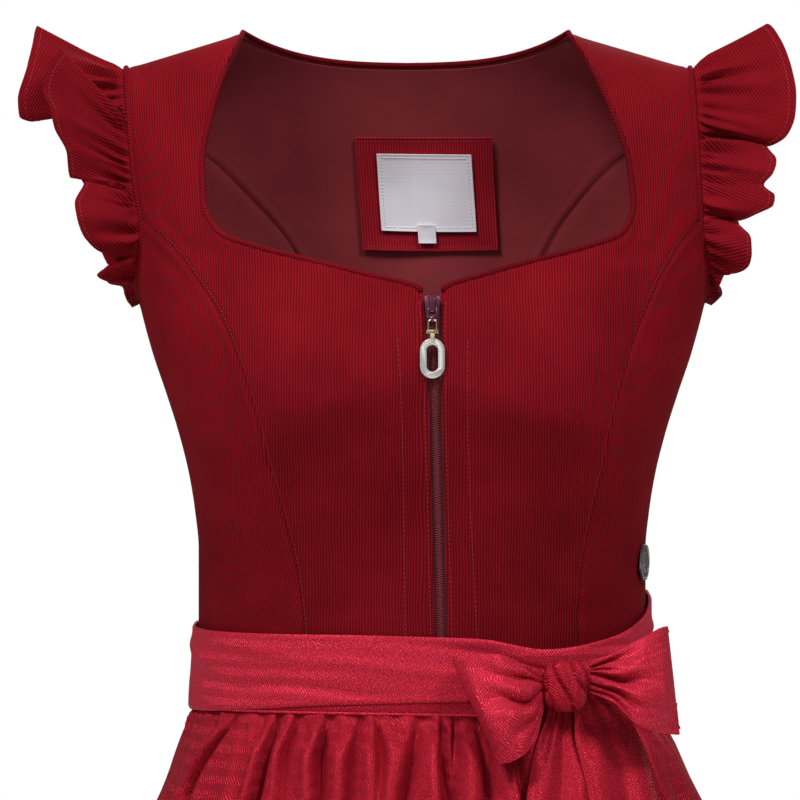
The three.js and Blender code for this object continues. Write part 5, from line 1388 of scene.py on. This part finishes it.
# %% Depth of the apron
def apron_out(phi, z):
    """How far the apron stands before the skirt's form, folds and all."""
    knots = np.arange(GATHERS * 2 + 3)
    inside = -APRON_EDGE + SIDE_HEM + 2 * (APRON_EDGE - SIDE_HEM) * uneven(GATHERS * 2, 1)
    places = np.concatenate([[-APRON_EDGE], inside, [APRON_EDGE]])
    j = np.interp(phi, places, knots)
    hem = (knots == 0) | (knots == knots[-1])
    broad_at = np.where(hem, 0, np.cos(math.pi * knots / 2) * unlike(knots, 4))
    broad = through(broad_at, np.clip(j, 0, len(knots) - 1))
    low = read(BAND_LOW, "phi", "z", phi)
    under = np.maximum(0, low - z)
    level = z - (low + 372.4) * np.clip(1 - under / 60, 0, 1)
    full = 5 * ease((phi + 78) / 26) * ease((18 - phi) / 14) * ease(under / 20) * ease((z + 520) / 90)
    total = read(APRON, "z", "out", level) + read(APRON, "z", "broad", level) * broad + full
    for k, (da, db, dc, width) in enumerate(rows_of(APRON_FOLDS)[:, 3:]):
        across = 2.35 * (phi - fold_line(k + 1, z))
        depth = np.interp(-level, [372, 380, 392, 413, -FOLDS_END], [0, da, db, dc, 0])
        depth = depth * (1.6 + 0.18 * full)
        slot = np.exp(-((across / np.where(across < 0, 1.2, 2.3)) ** 2))
        slope = np.exp(-((across / np.where(across < 0, 0.5, 1.7) / width) ** 2))
        crest = 0.28 * np.exp(-(((across + 1.5 * width) / (1.1 * width)) ** 2))
        total = total + depth * (crest - 0.62 * slot - 0.55 * slope)
    place = (phi + APRON_EDGE) / (2 * APRON_EDGE) * TUCKS
    fresh = under / 5
    total = total + 2.4 * through(TUCK_DEPTHS, place - 0.12 * under) * fresh * np.exp(1 - fresh)
    total = total + 0.5 * np.sin(phi * 0.9 + z / 19) * np.sin(phi * 0.37 + z / 31)
    least = 2.0 + 0.3 * read(SKIRT, "z", "fold", z)
    return np.where(total > least + 1, total, least + np.exp(np.minimum(total - least - 1, 0)))

# %% [markdown]
# ## Cloth of the apron
# The rows stand closest below the band. The map is taken from a row in the deep gathers, because
# there the cloth's full width is used, and it spreads a little where the hem is wider still.

# %% Cloth of the apron
even = np.linspace(-APRON_EDGE, APRON_EDGE, APRON_COLUMNS)[None]
top = read(BAND_LOW, "phi", "z", even) + 1.6
z = top + (APRON_HEM_Z - top) * np.linspace(0, 1, APRON_ROWS)[:, None] ** 1.8
phi = along_folds(even, z)
apron_grid = skirt_point(phi, z, apron_out(phi, z))
width = spaced(apron_grid, 1)
cut = width[CUT_ROW] - width[CUT_ROW, APRON_COLUMNS // 2]
spread = np.clip((SPREAD_FROM_Z - z) / SPREAD_OVER, 0, 1)
apron_uv = np.stack([cut * (1 + (width[:, -1:] / width[CUT_ROW, -1] - 1) * spread), -z], -1)
# The apron takes the darker satin copy, painted shade.
apron = cloth("apron_satin", apron_grid, apron_uv, APRON_THICK, SATIN_PAINTED_SHADE)
hand_over(apron, "apron_panel", apron_grid)

# %% [markdown]
# ## Waistband and tie
# The waistband is the narrow band that shows below the tie. The tie is a double ribbon of the same
# satin, wound once round, so its edges are rolled and soft long creases run with it. A thin tube
# rolls the waistband's lower edge, where the light catches it.

# %% Bands
TIE = table(
    "phi top low",
    (-97, -326, -373.6), (-60, -328, -371), (-20, -328, -365.4), (10, -330, -363),
    (28, -336, -361.6), (50, -331, -360), (70, -322, -358), (97, -309, -350), (150, -316, -357),
    (200, -322, -367), (263, -326, -373.6),
)
TIE_CREASES = table(
    "phi v length width depth",
    (-78, 0.3, 30, 0.08, 1.4), (-60, 0.62, 44, 0.07, -1.4), (-40, 0.24, 36, 0.08, 1.2),
    (-22, 0.78, 40, 0.07, -1.4), (-8, 0.46, 30, 0.09, 1.2), (4, 0.16, 26, 0.07, -1.0),
    (16, 0.7, 22, 0.09, 1.5), (24, 0.4, 18, 0.08, -1.5), (58, 0.34, 20, 0.1, 1.4),
    (74, 0.66, 26, 0.08, -1.4), (88, 0.4, 24, 0.08, 1.2), (120, 0.3, 40, 0.08, -1.4),
    (146, 0.66, 44, 0.09, 1.4), (176, 0.4, 50, 0.08, -1.4), (206, 0.7, 40, 0.08, 1.4),
    (232, 0.34, 44, 0.08, -1.4), (254, 0.6, 30, 0.08, 1.2),
)
BAND_ROWS, WAISTBAND_TOP, BAND_OUT, EDGE_RADIUS = 27, -340, 1.9, 0.75
RIBBON_THICK, RIBBON_ROOM = 1.1, 1.2
TIE_OVER_APRON, TIE_AT_BACK = 2.2, 0.6

# %% [markdown]
# ## Ribbons round the waist
# A band is drawn between its upper and lower edge, creased, and turned in at both edges. The tie
# lies over the waistband in front and directly on the bodice behind.

# %% Ribbons round the waist
def tie_out(phi):
    rounds = np.minimum(np.abs(phi), 360 - phi)
    return TIE_OVER_APRON + (TIE_AT_BACK - TIE_OVER_APRON) * ease((rounds - 100) / 30) + RIBBON_ROOM


def band(node, name, start, end, columns, edges, out, material, creases=None):
    phi, v = np.linspace(start, end, columns)[None], np.linspace(0, 1, BAND_ROWS)[:, None]
    top, low = edges(phi)
    z = top + (low - top) * v
    lift = out(phi) + 0 * v
    if creases is not None:
        for place, row, length, wide, depth in rows_of(creases):
            line = row + 0.1 * np.sin((phi - place) / 11)
            off, far = (v - line) / wide, (phi - place) / (length / 2)
            lift = lift + depth * np.exp(-(off**2) - far**4)
    edge = np.minimum(v, 1 - v) * (top - low)
    lift = lift - 0.9 * np.exp(-((edge / 0.8) ** 2))
    spread = phi + 0 * v
    grid = body_point(spread, z) + body_normal(spread, np.maximum(z, SKIRT_SEAM_Z)) * lift[..., None]
    length = spaced(grid, 1)
    uv = np.stack([np.broadcast_to(length[BAND_ROWS // 2], length.shape), -(z + 0 * phi)], -1)
    piece = cloth(name, grid, uv, RIBBON_THICK, material)
    hand_over(piece, node, grid)


def waistband_edges(phi):
    return WAISTBAND_TOP + 0 * phi, read(BAND_LOW, "phi", "z", phi)


band(
    "apron_waistband", "waistband_satin", -APRON_EDGE, APRON_EDGE, 260,
    waistband_edges, lambda phi: BAND_OUT + 0 * phi, SATIN_PAINTED_SHADE,
)
phi = np.linspace(-APRON_EDGE, APRON_EDGE, 160)
z = read(BAND_LOW, "phi", "z", phi) + 0.5
edge_line = body_point(phi, z) + body_normal(phi, np.maximum(z, SKIRT_SEAM_Z)) * BAND_OUT
add_trim(tube("waistband_edge", edge_line, EDGE_RADIUS, SATIN_CLOTH, sides=8, ends=0.6))


def tie_edges(phi):
    return read(TIE, "phi", "top", phi), read(TIE, "phi", "low", phi)


for node, start, end, columns in (
    ("tie_front", -97, 31, 280), ("tie_left", 31, 97, 150), ("tie_back", 97, 263, 340),
):
    band(node, node + "_satin", start, end, columns, tie_edges, tie_out, SATIN_CLOTH, TIE_CREASES)

# %% [markdown]
# ## Bow
# The bow is tied from the tie's two ends. Each loop is a ribbon that leaves the knot, swells, folds
# over and comes back, with creases that fan from the knot. Its path is a table of the ribbon's upper
# and lower edge from the knot round the fold and back.

# %% Bow loops
LOOPS = {
    "right": table(
        "at tx ty tz bx by bz puff",
        (0, 62.5, -98, -347, 62.5, -99, -367, 0), (1, 52, -110, -342, 58, -114, -382, 3),
        (2, 36, -116, -337, 50, -121, -390, 5), (3, 21, -114, -337, 43, -120, -393, 4),
        (4, 15.9, -107, -340, 40, -116, -393, 0), (5, 20, -101.5, -341, 44, -112, -391, -1),
        (6, 38, -100, -343, 53, -109, -386, 0), (7, 53, -96.5, -346, 59, -104, -377, 0),
        (8, 62.5, -92, -349, 62.5, -94, -365, 0),
    ),
    "left": table(
        "at tx ty tz bx by bz puff",
        (0, 87.5, -96, -341, 87.5, -98, -358, 0), (1, 98, -102, -338, 99, -109, -362, 3),
        (2, 112, -99, -331, 112, -110, -374, 5), (3, 126, -90, -325, 128, -98, -380, 4),
        (4, 130, -81, -324, 136, -87, -381, 0), (5, 125, -74, -326, 129, -81, -379, 0),
        (6, 112, -75, -333, 112, -84, -372, 0), (7, 98, -82, -340, 99, -88, -361, 0),
        (8, 87.5, -88, -344, 87.5, -90, -356, 0),
    ),
}
LOOP_ROWS, LOOP_COLUMNS, LOOP_END = 150, 48, 8
LOOP_CREASES = {
    "right": table(
        "va vb at width depth",
        (0.26, 0.16, 2.7, 0.07, 7.5), (0.5, 0.42, 3.1, 0.08, 9.8), (0.74, 0.78, 2.4, 0.06, 6.8),
        (0.9, 0.95, 1.6, 0.04, 3.8), (0.12, 0.02, 1.8, 0.04, 3.8),
    ),
    "left": table(
        "va vb at width depth",
        (0.22, 0.1, 2.2, 0.06, 6.0), (0.46, 0.5, 3, 0.08, 9.8), (0.7, 0.8, 2.6, 0.06, 7.5),
        (0.88, 0.96, 1.8, 0.04, 4.5), (0.34, 0.3, 1.6, 0.04, 3.8),
    ),
}

# %% [markdown]
# ## Cloth of the loops
# The creases are deepest between knot and fold, and the outer face shows them most. The inner face
# of the same ribbon takes them weakly and the other way.

# %% Cloth of the loops
def fanned(creases, near, v):
    """Troughs that run out from the knot and open as they go."""
    rise = np.zeros(np.broadcast(near, v).shape)
    for va, vb, at, width, depth in rows_of(creases):
        along = np.clip(near / at, 0, 1)
        line = va + (vb - va) * along + 0.03 * np.sin(near * 3 + va * 9)
        spread = width * (0.6 + 0.9 * along)
        rise -= depth * np.exp(-(((v - line) / spread) ** 2)) * np.sin(math.pi * along**0.7)
    return rise


for word, rule in LOOPS.items():
    at = np.linspace(0, LOOP_END, LOOP_ROWS)[:, None]
    v = np.linspace(0, 1, LOOP_COLUMNS)[None]
    edge = {c: read(rule, "at", c, at) for c in ("tx", "ty", "tz", "bx", "by", "bz", "puff")}
    grid = np.stack([edge["t" + c] + (edge["b" + c] - edge["t" + c]) * v for c in "xyz"], -1)
    near = np.minimum(at, LOOP_END - at)
    lift = 1.5 * edge["puff"] * np.sin(math.pi * v)
    wavy = 1.2 * np.sin(v * 7 + at * 1.3) * np.exp(-(((near - 3) / 1.0) ** 2))
    outer_face = np.where(at < LOOP_END / 2, 1, -0.3)
    grid[..., 1] -= lift + (fanned(LOOP_CREASES[word], near, v) + wavy) * outer_face
    uv = np.stack([spaced(grid, 0), spaced(grid, 1)], -1)
    piece = cloth(f"bow_loop_{word}_satin", grid, uv, RIBBON_THICK, SATIN_CLOTH, away=(0, 0, 1))
    hand_over(piece, f"bow_loop_{word}", grid)

# %% [markdown]
# ## Knot
# The knot is the ribbon pulled tight round itself. Its folds run down over a boxy lump, slantwise,
# and they are deepest in the middle. A sphere is squared off and then ridged. The lump is filled
# with the ribbon's own turns.

# %% Knot
KNOT, KNOT_HALF, BOXY = np.array([75, -95.4, -354.5]), np.array([11.7, 9.5, 14]), 2.8
bpy.ops.mesh.primitive_uv_sphere_add(segments=128, ring_count=72, radius=1)
knot = bpy.context.object
knot.name = "bow_knot_satin"
ball = np.array([v.co for v in knot.data.vertices])
ball = ball / (np.abs(ball) ** BOXY).sum(1, keepdims=True) ** (1 / BOXY)
slantwise = ball[:, 0] * 0.9 + ball[:, 2] * 0.42 + 0.12 * np.sin(ball[:, 2] * 3)
ridges = 0.6 - 2.2 * (1 - np.abs(np.sin(slantwise * 3.7 + 0.5))) ** 3
front = np.clip(-ball[:, 1] * 1.6, 0, 1)
ball *= (1 + 0.16 * ridges * front * (1 - 0.5 * np.abs(ball[:, 2])))[:, None]
ball = KNOT + KNOT_HALF * ball
for vertex, place in zip(knot.data.vertices, ball * MM):
    vertex.co = place
layer = knot.data.uv_layers[0]
layer.name = "cloth"
corner = np.zeros(len(knot.data.loops), int)
knot.data.loops.foreach_get("vertex_index", corner)
knot_uv = np.stack([ball[:, 2], ball[:, 0] * 1.2 + ball[:, 1]], -1)
layer.data.foreach_set("uv", knot_uv[corner].astype(np.float32).ravel())
knot.data.materials.append(SATIN_PAINTED_SHADE)
bpy.ops.object.shade_smooth()
hand_over(knot, "bow_knot")

# %% [markdown]
# ## Tails
# The two ends hang from the knot over the apron, cut slantwise. They lie just in front of the
# apron's highest folds, with soft folds of their own that open towards the ends.

# %% Tails
TAILS = {
    "right": table(
        "z x0 x1 out",
        (-363, 68, 82, 5), (-372, 65, 84, 6), (-384, 60, 86, 3), (-400, 56, 88, 2),
        (-430, 52, 90, 2), (-480, 46, 93, 2), (-560, 42, 96, 2), (-640, 40, 98, 2),
        (-720, 38, 100, 2), (-790, 37, 101, 2),
    ),
    "left": table(
        "z x0 x1 out",
        (-359, 80, 94, 8), (-368, 80, 105, 11), (-380, 80, 114, 8), (-394, 83, 119, 6.5),
        (-414, 87, 124, 6), (-470, 93, 136, 6), (-550, 99, 147, 6), (-640, 104, 155, 6),
        (-720, 107, 160, 6), (-775, 109, 163, 6),
    ),
}
TAIL_LIFT, TAIL_COLUMNS, TAIL_ROWS, TAIL_SLANT = 1.5, 40, 120, 26


def before_apron(x, z, out):
    """The point at x and z that lies out in front of the apron, found by halving the angle's range."""
    reach = read(APRON, "z", "out", z) + read(APRON, "z", "broad", z) + TAIL_LIFT + out
    low, high = np.full(x.shape, -89.0), np.full(x.shape, 89.0)
    for _ in range(24):
        phi = (low + high) / 2
        short = skirt_point(phi, z, reach)[..., 0] < x
        low, high = np.where(short, phi, low), np.where(short, high, phi)
    return skirt_point(low, z, reach)


for word, rule in TAILS.items():
    v, t = np.linspace(0, 1, TAIL_COLUMNS)[None], np.linspace(0, 1, TAIL_ROWS)[:, None]
    top, low = rule["z"][0], rule["z"][-1]
    z = top + (low - top) * t - TAIL_SLANT * t * (v if word == "left" else 1 - v)
    held = np.maximum(z, low)
    x0, x1, out = (read(rule, "z", c, held) for c in ("x0", "x1", "out"))
    bend = v + 0.08 * np.sin(z / 45)
    fold = 2.2 * (1 - np.cos(bend * math.pi * 3.6 + 0.6)) + 0.9 * np.sin(bend * 15 + z / 70)
    gather = 1.6 * np.sin(v * 19 + 1) * np.exp(-t * 13) * np.minimum(1, t * 60)
    grid = before_apron(x0 + (x1 - x0) * v, z, out + fold * ease(t * 9) + gather)
    uv = np.stack([-z, (x1 - x0) * v], -1)
    piece = cloth(f"bow_tail_{word}_satin", grid, uv, RIBBON_THICK, SATIN_PAINTED_SHADE, away=(0, -1, 0))
    hand_over(piece, f"bow_tail_{word}", grid)

# %% [markdown]
# ## Topstitching
# The princess seams, the zip facings, the ruffles' hems and the patch are topstitched, four stitches
# to the centimetre. A stitch is a short bead of thread sunk into the cloth. One bead is modelled
# and repeated.

# %% Stitches
def stitch_line(name, path, normals, pitch, length, material, sink):
    run = spaced(path, 0)
    places = np.arange(pitch, run[-1] - pitch / 2, pitch)
    at = np.stack([np.interp(places, run, path[:, k]) for k in range(3)], -1)
    on = np.stack([np.interp(places, run, normals[:, k]) for k in range(3)], -1)
    ahead = np.stack([np.interp(places + 0.5, run, path[:, k]) for k in range(3)], -1)
    return beads(name, at - on * sink, ahead - at, on, (length / 2, 0.27, 0.3), material)


def line_on(panel, edge, distance, start):
    """A line at one distance from a panel's left or right edge, from a share of its length down."""
    grid, normal, far = panel["grid"], panel["normal"], panel["far"][edge]
    points, outs = [], []
    for i in range(int(start * (len(grid) - 1)), len(grid)):
        order = np.argsort(far[i])
        points.append([np.interp(distance, far[i][order], grid[i, order, k]) for k in range(3)])
        outs.append([np.interp(distance, far[i][order], normal[i, order, k]) for k in range(3)])
    return np.array(points), np.array(outs)


STITCH_PITCH, STITCH_LENGTH, STITCH_SUNK = 2.5, 1.7, 0.1
lines = []
for word in ("left", "right"):
    front = panels[f"bodice_front_{word}"]
    for name, edge, distance, row in (
        ("princess", "left", 1.6, PRINCESS_ROW),
        ("zip", "right", 16, 10),
        ("zip_edge", "right", 2.4, 9.3),
    ):
        lines.append((f"{name}_stitches_{word}", *line_on(front, edge, distance, row / FRONT_ROWS)))
    back_line = line_on(panels["bodice_back_centre"], word, 1.6, BACK_PRINCESS_ROW / BACK_ROWS)
    lines.append((f"back_stitches_{word}", *back_line))
for name in ("ruffle_hem_left", "ruffle_hem_right", "neck_patch"):
    lines.append((name + "_stitches", *stitched[name]))
for name, path, normals in lines:
    piece = stitch_line(name, path, normals, STITCH_PITCH, STITCH_LENGTH, THREAD, STITCH_SUNK)
    add_trim(piece)
label_line = stitched["neck_label"]
add_trim(stitch_line("neck_label_stitches", *label_line, 2.0, 1.4, WHITE_THREAD, 0.0))
print("topstitched lines:", len(lines))
